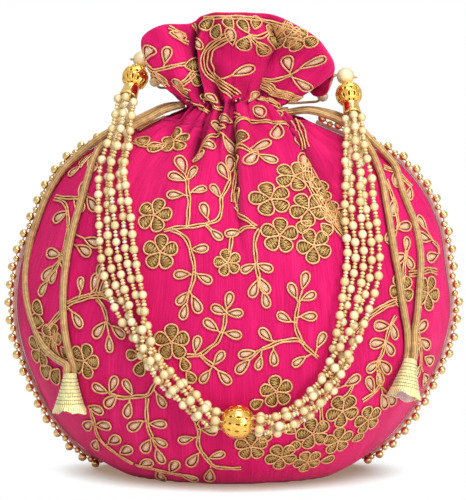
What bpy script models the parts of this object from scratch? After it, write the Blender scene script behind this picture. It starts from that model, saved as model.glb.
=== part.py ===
"""A potli: a drawstring pouch of embroidered raw silk with a ruffled mouth, a beaded seam,
two drawstrings that end in brocade bells, and a handle of five pearl strands.

Sizes are in millimetres and become metres where a mesh is made. The bag stands on z = 0
with the middle of its base at the origin. Its front faces -Y and +X is the viewer's right.
"""

import math

import bmesh
import bpy
import numpy as np
from mathutils import Matrix, Vector
from mathutils.bvhtree import BVHTree

for old in list(bpy.data.objects):
    bpy.data.objects.remove(old)

# Driving sizes
MM = 0.001
GAP = 0.3
CLOTH = 1.0
LINING = 0.8
LINING_EASE = 0.9
LINING_TOP = 0.93
GATHER_DEPTH = 1.4
GATHERS = 8
CREASE_DEPTH = 3.0
COLUMNS = 24
SLIT = 0.22

TAPE_WIDTH = 2.3
TAPE_THICKNESS = 0.8
TAPE_GAP = 0.6
TRIM_BEAD = 3.8
TRIM_PITCH = 9.0
TRIM_BEAD_OUT = 1.0
TRIM_START = 0.93

CORD = 3.5
CORD_STEP = 9.8
CORD_SAG = 0.25
LOOP_LEVELS = {"left": 186.2, "right": 182.2}
LOOP_HALF_WIDTH = 19.5
LOOP_HALF_DEPTH = 10.6
BELL_TOP = 7.2
BELL_RIM = 17.6
BELL_HEIGHT = 19.0
BELL_WALL = 0.9

PEARL = 4.1
SEED = 2.3
STRANDS = 5
STRAND_PITCH = 8.2
STRAND_SIDES = 5
STRAND_SPACING = 4.5
ROPE_EASE = 1.1
THREAD = 1.0
THREAD_RING = 1.9

HINGE_PEARL = 8.8
HINGE_PIN = 1.8
HINGE_PLAY = 0.35
TIE_KNOT = 3.4
TIE_PEARL = 5.6
END_BALL = 13.4
BALL_BORE = 2.6
HANGER = 1.5
CAP_LENGTH = 6.8
CAP_MOUTH = 9.2
CAP_TOP = 7.2
CAP_WALL = 0.8
CAP_HOLE = 2.4
CENTRE_BALL = 16.5
CENTRE_BORE = 6.4

# The side seams from the bottom corners up to the neck, as (x, z)
SEAM_RIGHT = [(52, 4.5), (74, 16.5), (89, 32), (98, 48.5), (105.2, 64), (108.7, 83), (106, 105),
              (103.2, 123), (95, 141.5), (80.5, 158), (60, 167.6), (40.2, 176.4), (24.2, 184)]
SEAM_LEFT = [(-54, 4.5), (-82, 16), (-95.6, 32), (-103, 48.5), (-108.5, 65), (-111, 84),
             (-108.7, 105.7), (-102.5, 122), (-92.5, 144), (-79, 160), (-56, 171.6),
             (-36, 179.8), (-25.2, 184)]
SEAM_BACK = 19.0
SEAM_TURN = 70.0

# The middle line of each panel from the bottom seam up to the neck, as (y, z). The floor
# flattens what would hang below z = 0.
MIDDLE_FRONT = [(22, 3), (12, -7), (0, -8), (-18, -8), (-31, -3), (-43, 7), (-53, 24), (-59, 45),
                (-61.5, 68), (-60, 92), (-55, 116), (-46, 139), (-34, 160), (-24, 174),
                (-17, 183), (-15.5, 187)]
MIDDLE_BACK = [(22, 3), (25.5, 9.5), (35, 23), (43.5, 42), (49, 66), (49, 92), (45, 118), (38, 142),
               (29, 162), (21, 176), (16.5, 183), (15.5, 187)]

# The frill by share across a panel: its fullest line and its rim, as (share, x, y, z)
FRILL_FRONT_FULL = [(-1, -35, -1, 201), (-0.86, -36.5, -7, 201), (-0.76, -38.5, -12.5, 199),
                    (-0.66, -36, -17, 203), (-0.54, -29, -19, 207), (-0.44, -20.5, -12, 208),
                    (-0.36, -17.5, -9, 208), (-0.29, -15, -14, 209), (-0.2, -12, -11.5, 209),
                    (-0.1, -6, -18, 209), (0.05, 3, -20, 209), (0.17, 10, -18, 209),
                    (0.26, 13.5, -10.5, 209), (0.35, 17.5, -15, 208), (0.48, 26.5, -19, 206),
                    (0.65, 37, -18, 202), (0.8, 43.5, -12.5, 198), (0.92, 43, -6, 197),
                    (1, 40, -1, 198)]
FRILL_FRONT_RIM = [(-1, -38.5, -1, 213), (-0.86, -42.5, -8.5, 213), (-0.76, -45.7, -14.6, 211),
                   (-0.66, -45.7, -17.2, 220), (-0.55, -36.5, -19.6, 225.8),
                   (-0.42, -22, -14, 226.5), (-0.34, -17.5, -16, 230), (-0.2, -11, -21, 231.5),
                   (0, 0, -23, 231.8), (0.18, 10, -22, 231.5), (0.34, 21, -20, 229.5),
                   (0.5, 32, -19, 224.5), (0.66, 41.5, -17, 218), (0.8, 48, -12, 209.5),
                   (0.9, 49, -8, 203), (1, 46.5, -3, 197)]
FRILL_BACK_FULL = [(-1, -35, -1, 201), (-0.8, -34, 5, 203), (-0.6, -28, 10, 206),
                   (-0.42, -18, 11, 207), (-0.2, -8, 17, 208), (0.05, 2, 12, 208),
                   (0.3, 14, 17, 206), (0.5, 24, 11, 203), (0.7, 33, 9, 198),
                   (0.86, 38, 4, 196), (1, 40, -1, 198)]
FRILL_BACK_RIM = [(-1, -38.5, -1, 213), (-0.8, -36, 5, 216), (-0.6, -28, 11, 220),
                  (-0.42, -18, 13, 224), (-0.2, -8, 19, 226), (0.05, 2, 16, 227),
                  (0.3, 14, 19, 224), (0.5, 25, 15, 213), (0.66, 34, 10, 199),
                  (0.78, 39.5, 6, 190.5), (0.9, 45, 1.5, 191.5), (1, 46.5, -3, 197)]

# Rows of a panel: 0 is the bottom seam, 1 the drawn neck and 2 the rim of the frill
BODY_ROWS = [0, 0.045, 0.1, 0.16, 0.23, 0.31, 0.4, 0.49, 0.58, 0.67, 0.75, 0.82, 0.88, 0.93,
             0.97, 1.0]
FRILL_ROWS = [1.1, 1.28, 1.5, 1.75, 2.0]
FINE_FROM = 0.7

FRONT, BACK = -1, 1


def smooth_curve(points, density=12):
    """A dense curve through the points, with even speed between them."""
    p = np.array(points, float)
    ends = [2 * p[0] - p[1], 2 * p[-1] - p[-2]]
    q = np.vstack([ends[0], p, ends[1]])
    dense = []
    for i in range(1, len(q) - 2):
        for t in np.linspace(0, 1, density, endpoint=False):
            a, b, c, d = q[i - 1], q[i], q[i + 1], q[i + 2]
            dense.append(0.5 * (2 * b + (c - a) * t + (2 * a - 5 * b + 4 * c - d) * t**2
                                + (3 * b - a - 3 * c + d) * t**3))
    dense.append(p[-1])
    return np.array(dense)


def lengths_along(curve):
    steps = np.linalg.norm(np.diff(curve, axis=0), axis=1)
    return np.concatenate([[0.0], np.cumsum(steps)])


def at_share(curve, share):
    """The point at a share, 0 to 1, of a curve's length."""
    run = lengths_along(curve)
    return np.array([np.interp(share * run[-1], run, curve[:, k]) for k in range(curve.shape[1])])


def spaced(curve, step):
    """The curve's points again, about step apart."""
    run = lengths_along(curve)
    at = np.linspace(0, run[-1], max(2, round(run[-1] / step) + 1))
    return np.stack([np.interp(at, run, curve[:, k]) for k in range(curve.shape[1])], axis=1)


def ease(low, high, value):
    t = min(1.0, max(0.0, (value - low) / (high - low)))
    return t * t * (3 - 2 * t)


def unit(vector):
    return vector / np.linalg.norm(vector)


def across(table, share):
    """A smooth value from a table of (share, x, y, z) rows."""
    rows = np.array(table, float)
    i = int(np.clip(np.searchsorted(rows[:, 0], share) - 1, 0, len(rows) - 2))
    k = np.clip([i - 1, i, i + 1, i + 2], 0, len(rows) - 1)
    s, p = rows[k, 0], rows[k, 1:]
    width = s[2] - s[1]
    t = (share - s[1]) / width
    m1 = (p[2] - p[0]) / (s[2] - s[0]) * width
    m2 = (p[3] - p[1]) / (s[3] - s[1]) * width
    return ((2 * t**3 - 3 * t**2 + 1) * p[1] + (t**3 - 2 * t**2 + t) * m1
            + (3 * t**2 - 2 * t**3) * p[2] + (t**3 - t**2) * m2)


SIDES = {"right": smooth_curve(SEAM_RIGHT), "left": smooth_curve(SEAM_LEFT)}
MIDDLES = {FRONT: smooth_curve(MIDDLE_FRONT), BACK: smooth_curve(MIDDLE_BACK)}
FRILLS = {FRONT: (FRILL_FRONT_FULL, FRILL_FRONT_RIM), BACK: (FRILL_BACK_FULL, FRILL_BACK_RIM)}


def seam_point(hand, share):
    """A point of a side seam. Below SEAM_TURN the seam swings to the back of the base."""
    x, z = at_share(SIDES[hand], share)
    y = SEAM_BACK * max(0.0, 1 - z / SEAM_TURN) ** 1.5
    return np.array([x, y, z])


def body_point(side, s, v, folds=True):
    """A point of the cloth from the bottom seam, v = 0, to the neck, v = 1."""
    left, right = seam_point("left", v), seam_point("right", v)
    middle_y, middle_z = at_share(MIDDLES[side], v)
    gather = ease(0.6, 1.0, v)
    span = (1 - gather) * s + gather * math.sin(math.pi / 2 * s)
    rise = (1 - gather) * max(0.0, 1 - abs(s) ** 2.2) ** 0.75
    rise += gather * math.cos(math.pi / 2 * s)
    p = left + (right - left) * (span + 1) / 2
    p[1] += (middle_y - p[1]) * rise
    p[2] += (middle_z - p[2]) * rise
    if folds:
        p = p + fold_shift(side, s, v, p)
    p[2] = max(p[2], 0.0)
    return p


def fold_shift(side, s, v, p):
    """Gathers round the neck and the long crease that runs down from its middle."""
    outward = unit(np.array([0.5 * p[0], p[1] + side * 1e-3, 0.0]))
    near_edge = ease(0.97, 0.72, abs(s))
    gathers = ease(0.8, 0.98, v) * ease(1.5, 1.1, v) * math.cos(math.pi * GATHERS * (s + 0.04))
    crease = ease(0.62, 0.9, v) * ease(1.1, 1.0, v) * math.exp(-(s / 0.06) ** 2)
    return outward * near_edge * (GATHER_DEPTH * gathers - CREASE_DEPTH * crease)


def frill_point(side, s, v, folds=True):
    """A point of the frill from the neck, v = 1, through its fullest line to its rim, v = 2."""
    t = v - 1
    full, rim = (across(table, s) for table in FRILLS[side])
    neck = body_point(side, s, 1.0, folds=False)
    p = neck * (1 - t) * (1 - 2 * t) + full * 4 * t * (1 - t) + rim * t * (2 * t - 1)
    return p + fold_shift(side, s, v, p) if folds else p


def cloth_point(side, s, v, folds=True):
    return body_point(side, s, v, folds) if v <= 1 else frill_point(side, s, v, folds)


def outward_normal(side, s, v, folds=True):
    """The cloth's outward direction, from points a little to each side."""
    ds, dv = 0.02, 0.01
    low_v, high_v = max(0.0, v - dv), min(2.0, v + dv)
    low_s, high_s = max(-1.0, s - ds), min(1.0, s + ds)
    du = cloth_point(side, high_s, v, folds) - cloth_point(side, low_s, v, folds)
    dw = cloth_point(side, s, high_v, folds) - cloth_point(side, s, low_v, folds)
    if np.linalg.norm(du) < 1e-6 or np.linalg.norm(np.cross(du, dw)) < 1e-9:
        return np.array([0.0, float(side), 0.0])
    return unit(np.cross(du, dw)) * -side


def seam_frame(p, s, v):
    """Two directions at a seam: from the front cloth to the back cloth, and into the bag."""
    turn = math.pi / 2 * ease(0.22, 0.0, v)
    split = np.array([0.0, math.cos(turn), math.sin(turn)])
    inward = np.array([0.6 * p[0], 0.0, max(60.0, p[2])]) - p
    if abs(s) < 1:
        along = body_point(FRONT, s + 0.05, 0, False) - body_point(FRONT, s - 0.05, 0, False)
    else:
        low, high = max(0, v - 0.02), min(2, v + 0.02)
        along = cloth_point(FRONT, s, high, False) - cloth_point(FRONT, s, low, False)
    if v > 1:
        front, back = (frill_point(side, 0.94 * s, v, False) for side in (FRONT, BACK))
        split = unit(unit(back - p) - unit(front - p))
        inward = np.cross(split, along) * s
    along = unit(along)
    inward = inward - along * (inward @ along)
    return split, unit(inward - split * (inward @ split))


def material(name, colour, roughness, metallic=0.0):
    made = bpy.data.materials.new(name)
    made.use_nodes = True
    shader = made.node_tree.nodes["Principled BSDF"]
    shader.inputs["Base Color"].default_value = (*colour, 1)
    shader.inputs["Roughness"].default_value = roughness
    shader.inputs["Metallic"].default_value = metallic
    made.diffuse_color = (*colour, 1)
    return made


def add_object(name, points, faces, finish, smooth_angle=40):
    """A named object from points in millimetres, with its faces turned outwards."""
    mesh = bpy.data.meshes.new(name)
    mesh.from_pydata([tuple(np.array(p) * MM) for p in points], [], faces)
    work = bmesh.new()
    work.from_mesh(mesh)
    bmesh.ops.remove_doubles(work, verts=work.verts, dist=1e-6)
    bmesh.ops.recalc_face_normals(work, faces=work.faces)
    work.to_mesh(mesh)
    work.free()
    mesh.shade_smooth()
    mesh.set_sharp_from_angle(angle=math.radians(smooth_angle))
    mesh.materials.append(finish)
    made = bpy.data.objects.new(name, mesh)
    bpy.context.scene.collection.objects.link(made)
    return made


SILK = material("raw_silk", (0.78, 0.02, 0.19), 0.45)
SATIN = material("lining_satin", (0.62, 0.42, 0.22), 0.5)
GOLD = material("gold_plate", (0.83, 0.5, 0.12), 0.28, 1.0)
TRIM_GOLD = material("trim_gold", (0.62, 0.42, 0.15), 0.32, 0.8)
CORD_GOLD = material("gold_cord", (0.5, 0.34, 0.14), 0.55)
BROCADE = material("brocade", (0.85, 0.78, 0.36), 0.42)
PEARL_WHITE = material("pearl", (0.93, 0.86, 0.66), 0.22)


# Shapes shared by the hard pieces
def square_to(direction):
    """Two directions square to one another and to the given one."""
    direction = unit(np.array(direction, float))
    helper = np.array([0, 0, 1.0]) if abs(direction[2]) < 0.9 else np.array([1.0, 0, 0])
    first = unit(np.cross(helper, direction))
    return first, np.cross(direction, first)


def turned(name, profile, origin, axis, finish, sides=16, smooth_angle=40):
    """A turned piece: profile points are (along the axis, radius), closed into a ring."""
    first, second = square_to(axis)
    axis = unit(np.array(axis, float))
    points, faces, rings = [], [], []
    for along, radius in profile:
        centre = np.array(origin, float) + axis * along
        if radius == 0:
            points.append(centre)
            rings.append([len(points) - 1] * sides)
            continue
        ring = []
        for k in range(sides):
            turn = 2 * math.pi * k / sides
            points.append(centre + radius * (math.cos(turn) * first + math.sin(turn) * second))
            ring.append(len(points) - 1)
        rings.append(ring)
    solid = profile[0][1] == 0 and profile[-1][1] == 0
    pairs = list(zip(rings, rings[1:])) + ([] if solid else [(rings[-1], rings[0])])
    for low, high in pairs:
        for k in range(sides):
            corners = [low[k], low[(k + 1) % sides], high[(k + 1) % sides], high[k]]
            face = list(dict.fromkeys(corners))
            if len(face) > 2:
                faces.append(face)
    return add_object(name, points, faces, finish, smooth_angle)


def bored_profile(diameter, bore, rows):
    """A ball's half outline with a hole from end to end along its axis."""
    start = math.asin(bore / diameter)
    turns = [start + (math.pi - 2 * start) * k / rows for k in range(rows + 1)]
    return [(-diameter / 2 * math.cos(t), diameter / 2 * math.sin(t)) for t in turns]


def tube(name, path, radii, finish, sides=8):
    """A closed tube along a path, with its own radius at each point."""
    path = [np.array(p, float) for p in path]
    points, faces, side = [], [], None
    for i, p in enumerate(path):
        ahead = unit(path[min(i + 1, len(path) - 1)] - path[max(i - 1, 0)])
        side = square_to(ahead)[0] if side is None else unit(side - ahead * (side @ ahead))
        other = np.cross(ahead, side)
        for k in range(sides):
            turn = 2 * math.pi * k / sides
            points.append(p + radii[i] * (math.cos(turn) * side + math.sin(turn) * other))
    for i in range(len(path) - 1):
        for k in range(sides):
            a, b = i * sides + k, i * sides + (k + 1) % sides
            faces.append((a, b, b + sides, a + sides))
    faces.append(tuple(range(sides)))
    faces.append(tuple(range(len(points) - sides, len(points))))
    return add_object(name, points, faces, finish, 50)


def surface_of(*solids):
    """One tree of the faces of several solids, in millimetres."""
    points, faces = [], []
    for solid in solids:
        start = len(points)
        points += [vertex.co / MM for vertex in solid.data.vertices]
        faces += [[start + i for i in face.vertices] for face in solid.data.polygons]
    return BVHTree.FromPolygons(points, faces)


def stand_clear(path, tree, clearance):
    """Each point of a path moved out to the clearance where it comes nearer than that."""
    moved = []
    for p in path:
        nearest, normal, _, distance = tree.find_nearest(Vector(p))
        away = Vector(p) - nearest
        if away.dot(normal) < 0:
            p = np.array(nearest + normal * clearance)
        elif distance < clearance:
            p = np.array(nearest + away * (clearance / max(distance, 1e-6)))
        moved.append(np.array(p))
    return np.array(moved)


def on_front(tree, x, z, height=0.0):
    """The point that stands a height off the front of the bag at x and z, and the way out."""
    normal = Vector()
    for dx, dz in ((0, 0), (5, 0), (-5, 0), (0, 5), (0, -5)):
        hit, face_normal, *_ = tree.ray_cast(Vector((x + dx, -200, z + dz)), Vector((0, 1, 0)))
        if hit:
            normal += face_normal
    hit, *_ = tree.ray_cast(Vector((x, -200, z)), Vector((0, 1, 0)))
    out = np.array(normal.normalized())
    return np.array(hit) + height * out, out


# Cloth panels: each runs from the bottom seam up through the neck into half of the frill
def band(lower, upper):
    """Faces between two rows of points, the upper with as many points or twice the spans."""
    if len(lower) == len(upper):
        return [(lower[i], lower[i + 1], upper[i + 1], upper[i]) for i in range(len(lower) - 1)]
    faces = []
    for i in range(len(lower) - 1):
        a, b, c = upper[2 * i], upper[2 * i + 1], upper[2 * i + 2]
        faces += [(lower[i], b, a), (lower[i], lower[i + 1], b), (lower[i + 1], c, b)]
    return faces


def shares_of(v):
    """Where a row's points lie across the panel: fewer on the smooth belly."""
    count = COLUMNS if v > FINE_FROM else COLUMNS // 2
    return np.linspace(-1, 1, count + 1)


def mouth_slit(v):
    """The side edges stand back at the neck, where the drawstrings come out of the seam."""
    return 1 - SLIT * ease(0.93, 0.97, v) * ease(1.28, 1.1, v)


def panel(name, side):
    outer, inner, points = [], [], []
    for v in BODY_ROWS + FRILL_ROWS:
        row_out, row_in = [], []
        for share in shares_of(v):
            s = share * mouth_slit(v)
            p = cloth_point(side, s, v)
            on_seam = abs(share) == 1 or v == 0
            if on_seam:
                split, inward = seam_frame(p, share, v)
                p = p + split * side * GAP / 2
                q = p + inward * CLOTH * 1.35
            else:
                q = p - outward_normal(side, s, v) * CLOTH
            points += [p, q]
            row_out.append(len(points) - 2)
            row_in.append(len(points) - 1)
        outer.append(row_out)
        inner.append(row_in)
    faces = []
    for k in range(len(outer) - 1):
        faces += band(outer[k], outer[k + 1])
        faces += [tuple(reversed(f)) for f in band(inner[k], inner[k + 1])]
        for end in (0, -1):
            faces.append((outer[k][end], outer[k + 1][end], inner[k + 1][end], inner[k][end]))
    for row in (0, -1):
        for i in range(len(outer[row]) - 1):
            faces.append((outer[row][i], outer[row][i + 1], inner[row][i + 1], inner[row][i]))
    return add_object(name, points, faces, SILK)


front_panel = panel("front_panel", FRONT)
back_panel = panel("back_panel", BACK)


# Lining: a plain bag inside the panels, sewn to them at the side seams in the real pouch
LINING_ROWS = [0, 0.045, 0.1, 0.16, 0.31, 0.49, 0.67, 0.75, 0.82, 0.88, LINING_TOP]
SEAM_SETBACK = 2.9
BASE_EASE = 0.8


def lining_layer(side, depth, points):
    """One layer of the lining on one side, as rows of indices into points."""
    rows = []
    for v in LINING_ROWS:
        row = []
        for s in np.linspace(-1, 1, COLUMNS // 2 + 1):
            p = cloth_point(side, s, v, folds=False)
            if abs(s) == 1 or v == 0:
                p = p + seam_frame(p, s, v)[1] * (SEAM_SETBACK + 1.4 * depth)
            else:
                folds = GATHER_DEPTH * ease(0.8, 0.98, v)
                folds += CREASE_DEPTH * ease(0.62, 0.9, v) * math.exp(-(s / 0.12) ** 2)
                inset = CLOTH + LINING_EASE + BASE_EASE * ease(0.35, 0.2, v) + depth + folds
                p = p - outward_normal(side, s, v, folds=False) * inset
            points.append(p)
            row.append(len(points) - 1)
        rows.append(row)
    return rows


def lining_bag():
    points, faces = [], []
    for side in (FRONT, BACK):
        outer = lining_layer(side, 0.0, points)
        inner = lining_layer(side, LINING, points)
        for k in range(len(outer) - 1):
            faces += band(outer[k], outer[k + 1]) + band(inner[k], inner[k + 1])
        faces += band(outer[-1], inner[-1])
    return add_object("lining", points, faces, SATIN)


lining = lining_bag()


# Beaded trim: a tape sewn into the seam with a gold bead every TRIM_PITCH along its edge
def trim_path():
    """The seam's line from one shoulder round the base to the other, with its two ways."""
    up = [v for v in BODY_ROWS if v <= TRIM_START]
    line = [(seam_point("left", v), -1, v) for v in reversed(up)]
    line += [(body_point(FRONT, s, 0, folds=False), s, 0) for s in shares_of(0)[1:-1]]
    line += [(seam_point("right", v), 1, v) for v in up]
    return [(p, *seam_frame(p, s, v)) for p, s, v in line]


def trim():
    line = trim_path()
    points, faces = [], []
    for p, split, inward in line:
        for out in (TAPE_GAP, TAPE_GAP + TAPE_WIDTH):
            for half in (-TAPE_THICKNESS / 2, TAPE_THICKNESS / 2):
                points.append(p - inward * out + split * half)
    for i in range(len(line) - 1):
        a = 4 * i
        for j, k in ((0, 1), (1, 3), (3, 2), (2, 0)):
            faces.append((a + j, a + k, a + 4 + k, a + 4 + j))
    faces += [(0, 1, 3, 2), tuple(len(points) - 4 + k for k in (0, 1, 3, 2))]
    tape = add_object("beaded_trim", points, faces, TRIM_GOLD, 50)

    edge = np.array([np.concatenate([p, inward]) for p, _, inward in line])
    edge[:, :3] -= edge[:, 3:] * (TAPE_GAP + TAPE_WIDTH + TRIM_BEAD_OUT)
    run = lengths_along(edge[:, :3])
    count = round((run[-1] - TRIM_BEAD) / TRIM_PITCH)
    work = bmesh.new()
    for at in np.linspace(TRIM_BEAD / 2, run[-1] - TRIM_BEAD / 2, count + 1):
        centre = [np.interp(at, run, edge[:, k]) * MM for k in range(3)]
        made = bmesh.ops.create_icosphere(work, subdivisions=1, radius=TRIM_BEAD / 2 * MM)
        bmesh.ops.translate(work, verts=made["verts"], vec=centre)
    mesh = bpy.data.meshes.new("trim_beads")
    work.to_mesh(mesh)
    work.free()
    beads = bpy.data.objects.new("trim_beads", mesh)
    bpy.context.scene.collection.objects.link(beads)
    beads.hide_render = True
    beads.display_type = "WIRE"
    join = tape.modifiers.new("beads", "BOOLEAN")
    join.operation, join.solver, join.object = "UNION", "EXACT", beads
    return tape, beads


beaded_trim, trim_beads = trim()
BAG = surface_of(front_panel, back_panel)
BAG_AND_TRIM = surface_of(front_panel, back_panel, beaded_trim, trim_beads)

# Drawstrings: where each string runs free from the slit at the neck to its bell. The first
# points are in the air as (x, y, z), the others lie on the front of the bag as (x, z).
BELLS = {"left": ((-81.5, -38.4, 55.8), (0, -0.06, -1)),
         "right": ((85.6, -34.6, 62.0), (-0.17, -0.3, -0.93))}
STRINGS = {
    ("left", 1): ([(-26.2, 1.9, 186.2), (-31, 1, 186.2), (-36, -1.2, 185), (-43, -3.4, 182),
                   (-49.5, -4.2, 178.6), (-56, -4.6, 175.8), (-66, -6, 171.4),
                   (-76, -5.4, 163.6), (-86, -4.6, 155)],
                  [(-92.2, 143.2), (-96.2, 133.2), (-102.5, 113), (-103.5, 93), (-97.8, 74.3),
                   (-90, 64)]),
    ("left", 2): ([(-26.2, -1.9, 186.2), (-31.5, -4.6, 185.4), (-38.4, -6.4, 182),
                   (-49.5, -8.2, 176.6), (-57, -9, 171.8), (-63.5, -8.4, 167.8),
                   (-69.4, -7, 163.4)],
                  [(-71.6, 151.6), (-74.7, 139.5), (-79.4, 122.6), (-82.7, 105.5),
                   (-83.6, 90.9), (-82.8, 78), (-80.8, 67)]),
    ("right", 1): ([(26.2, -1.9, 182.2), (32, -3.2, 183.2), (40, -3.6, 182.8),
                    (50, -4, 179), (57, -3.6, 175.2), (61.8, -6.6, 171),
                    (66, -10.4, 166)],
                   [(70.6, 151.5), (71.8, 144.4), (74.8, 125.3), (77.1, 109.8), (80.1, 91.1),
                    (83, 74)]),
    ("right", 2): ([(26.2, 1.9, 182.2), (32, 3.2, 183.4), (40, 3.6, 183.4), (50, 3, 181),
                    (57, 0.8, 178.3), (63, -2.8, 174), (68.6, -5.8, 167.4),
                    (73, -6, 163), (78.2, -5, 158.6)],
                   [(81.7, 141.5), (86.6, 129.2), (89.8, 112.1), (88.4, 90.4), (86.4, 74)]),
}


def bell_seat(hand, number):
    """Where a string meets the flat top of its bell, beside the other string."""
    top, down = (np.array(v, float) for v in BELLS[hand])
    down = unit(down)
    outward = unit(np.array([top[0], 1.4 * top[1], 0.0]))
    outward = unit(outward - down * (outward @ down))
    which = -1 if (hand, number) in (("left", 2), ("right", 1)) else 1
    seat = top + outward * which * (CORD + GAP) / 2 - down * GAP
    return seat, down


def string_path(hand, number):
    in_air, on_bag = STRINGS[hand, number]
    seat, down = bell_seat(hand, number)
    lift = CORD / 2 + GAP + CORD_SAG
    route = [np.array(p, float) for p in in_air]
    route += [on_front(BAG, x, z, lift)[0] for x, z in on_bag]
    route = [route[0], *stand_clear(route[1:], BAG_AND_TRIM, lift), seat - down * CORD]
    path = spaced(smooth_curve(route), CORD_STEP)
    path[1:-1] = stand_clear(path[1:-1], BAG_AND_TRIM, lift)
    return np.vstack([path, seat])


def cord(name, path, finish):
    """A plain round cord along its points, with closed ends."""
    curve = bpy.data.curves.new(name, "CURVE")
    curve.dimensions = "3D"
    curve.bevel_depth = CORD / 2 * MM
    curve.bevel_resolution = 2
    curve.use_fill_caps = True
    spline = curve.splines.new("POLY")
    spline.points.add(len(path) - 1)
    for point, p in zip(spline.points, path):
        point.co = (*(np.array(p) * MM), 1)
    curve.materials.append(finish)
    made = bpy.data.objects.new(name, curve)
    bpy.context.scene.collection.objects.link(made)
    return made


STRING_PATHS = {key: string_path(*key) for key in STRINGS}
for (hand, number), path in STRING_PATHS.items():
    cord(f"drawstring_{hand}_{number}", path, CORD_GOLD)

# The part of each drawstring that runs in the casing, round the inside of the neck
for hand, level in LOOP_LEVELS.items():
    facing = math.pi if hand == "left" else 0
    opening = math.asin((CORD + GAP) / 2 / LOOP_HALF_DEPTH)
    turns = np.linspace(facing + opening, facing + 2 * math.pi - opening, 15)
    ring = [(LOOP_HALF_WIDTH * math.cos(t), LOOP_HALF_DEPTH * math.sin(t), level)
            for t in turns]
    tube(f"drawstring_{hand}_in_casing", ring, [CORD / 2] * len(ring), CORD_GOLD)

# Bells: stiff brocade cones, open below, on the ends of the drawstrings
for hand, (top, down) in BELLS.items():
    outside = [(BELL_HEIGHT * k / 4,
                BELL_TOP / 2 + (BELL_RIM - BELL_TOP) / 2 * (k / 4) ** 1.25) for k in range(5)]
    inside = [(max(h, 2 * BELL_WALL), r - BELL_WALL) for h, r in outside]
    profile = [(0, 0), *outside, *reversed(inside), (2 * BELL_WALL, 0)]
    turned(f"bell_{hand}", profile, top, down, BROCADE, sides=14)

# Handle: the ends swing on thread ties that stand off the neck behind the frill
HINGES = {"left": np.array([-47.5, 6.0, 208.4]), "right": np.array([55.2, 6.0, 200.2])}
HANGS = {"left": unit(np.array([-6.4, -14.4, -18.6])), "right": unit(np.array([2.8, -14.4, -18.6]))}
HINGE_AXIS = unit(HINGES["right"] - HINGES["left"])
TIES = {"left": ([(-21.5, 12.5, 187), (-28, 13, 190.5), (-34.5, 11.5, 194)],
                 (-41, 8.4, 197.6), (-0.5, -0.35, 0.8)),
        "right": ([(21.5, 12.5, 187), (29, 15, 186.5), (37, 14.6, 187)],
                  (44, 12, 190), (0.6, -0.45, 0.66))}
# Distances down from a hinge pearl's middle to its end ball's middle, and from there to the
# rim where the cap sits on the ball, to the cap's small hole and to its open mouth
BALL_DROP = (HINGE_PEARL + END_BALL) / 2 + GAP
CAP_SEAT = math.sqrt((END_BALL / 2) ** 2 - (CAP_TOP / 2) ** 2) + GAP
CAP_LIP = math.sqrt((END_BALL / 2) ** 2 - (CAP_HOLE / 2) ** 2) + GAP
CAP_END = CAP_SEAT + CAP_LENGTH
PIN_SHOULDER = 1.0
PIN_KNOT = 2.2
BEAD_REACH = 0.6
HANGER_FLARE = 0.4

for hand, centre in HINGES.items():
    turned(f"hinge_pearl_{hand}", bored_profile(HINGE_PEARL, HINGE_PIN + 2 * HINGE_PLAY, 6),
           centre, HINGE_AXIS, PEARL_WHITE, sides=12)

    outer_side = -HINGE_AXIS if hand == "left" else HINGE_AXIS
    pin_in = centre - outer_side * (HINGE_PEARL / 2 + PIN_SHOULDER)
    pin_out = centre + outer_side * (HINGE_PEARL / 2 + GAP)
    before, bead, along = TIES[hand]
    bead, along = np.array(bead, float), unit(np.array(along, float))
    thin, knot = HINGE_PIN / 2, TIE_KNOT / 2
    start = stand_clear([before[0]], BAG, knot + GAP)[0]
    leave = unit(np.array(before[1]) - start)
    way = [start, start + leave * knot, start + leave * 2 * knot, *before[1:],
           bead - along * TIE_PEARL * BEAD_REACH, bead + along * TIE_PEARL * BEAD_REACH,
           pin_in, pin_out, pin_out + outer_side * (knot - thin),
           pin_out + outer_side * PIN_KNOT]
    radii = [knot * 0.7, knot] + [thin] * (len(way) - 4) + [knot, knot * 0.7]
    tube(f"tie_{hand}", way, radii, CORD_GOLD)
    turned(f"tie_pearl_{hand}", bored_profile(TIE_PEARL, HINGE_PIN + 2 * GAP, 5), bead, along,
           PEARL_WHITE, sides=10)

    hang = HANGS[hand]
    ball = centre + hang * BALL_DROP
    turned(f"end_ball_{hand}", bored_profile(END_BALL, BALL_BORE, 8), ball, hang, GOLD)

    shoulder = CAP_LIP + CAP_WALL
    profile = [(CAP_END, CAP_MOUTH / 2), (CAP_SEAT, CAP_TOP / 2), (CAP_LIP, CAP_HOLE / 2),
               (shoulder, CAP_HOLE / 2), (shoulder, CAP_TOP / 2 - CAP_WALL),
               (CAP_END, CAP_MOUTH / 2 - CAP_WALL)]
    turned(f"cap_{hand}", profile, ball, hang, GOLD, sides=14)

    top = centre + hang * (HINGE_PEARL / 2 + GAP)
    hanger_end = ball + hang * (CAP_LIP + 2 * CAP_WALL)
    flared = CAP_HOLE / 2 + HANGER_FLARE
    tube(f"hanger_{hand}",
         [top, hanger_end - hang * 2 * HANGER_FLARE, hanger_end - hang * HANGER_FLARE, hanger_end],
         [HANGER / 2, HANGER / 2, flared, flared], CORD_GOLD)

# The gold ball in the middle of the handle, which lies on the front of the bag
CENTRE_AT = (0.5, 38)
CENTRE_AXIS = unit(np.array([1, 0, -0.12]))
centre_ball, CENTRE_OUT = on_front(BAG, *CENTRE_AT, CENTRE_BALL / 2 + GAP)
turned("centre_ball", bored_profile(CENTRE_BALL, CENTRE_BORE, 8), centre_ball, CENTRE_AXIS, GOLD)

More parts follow.
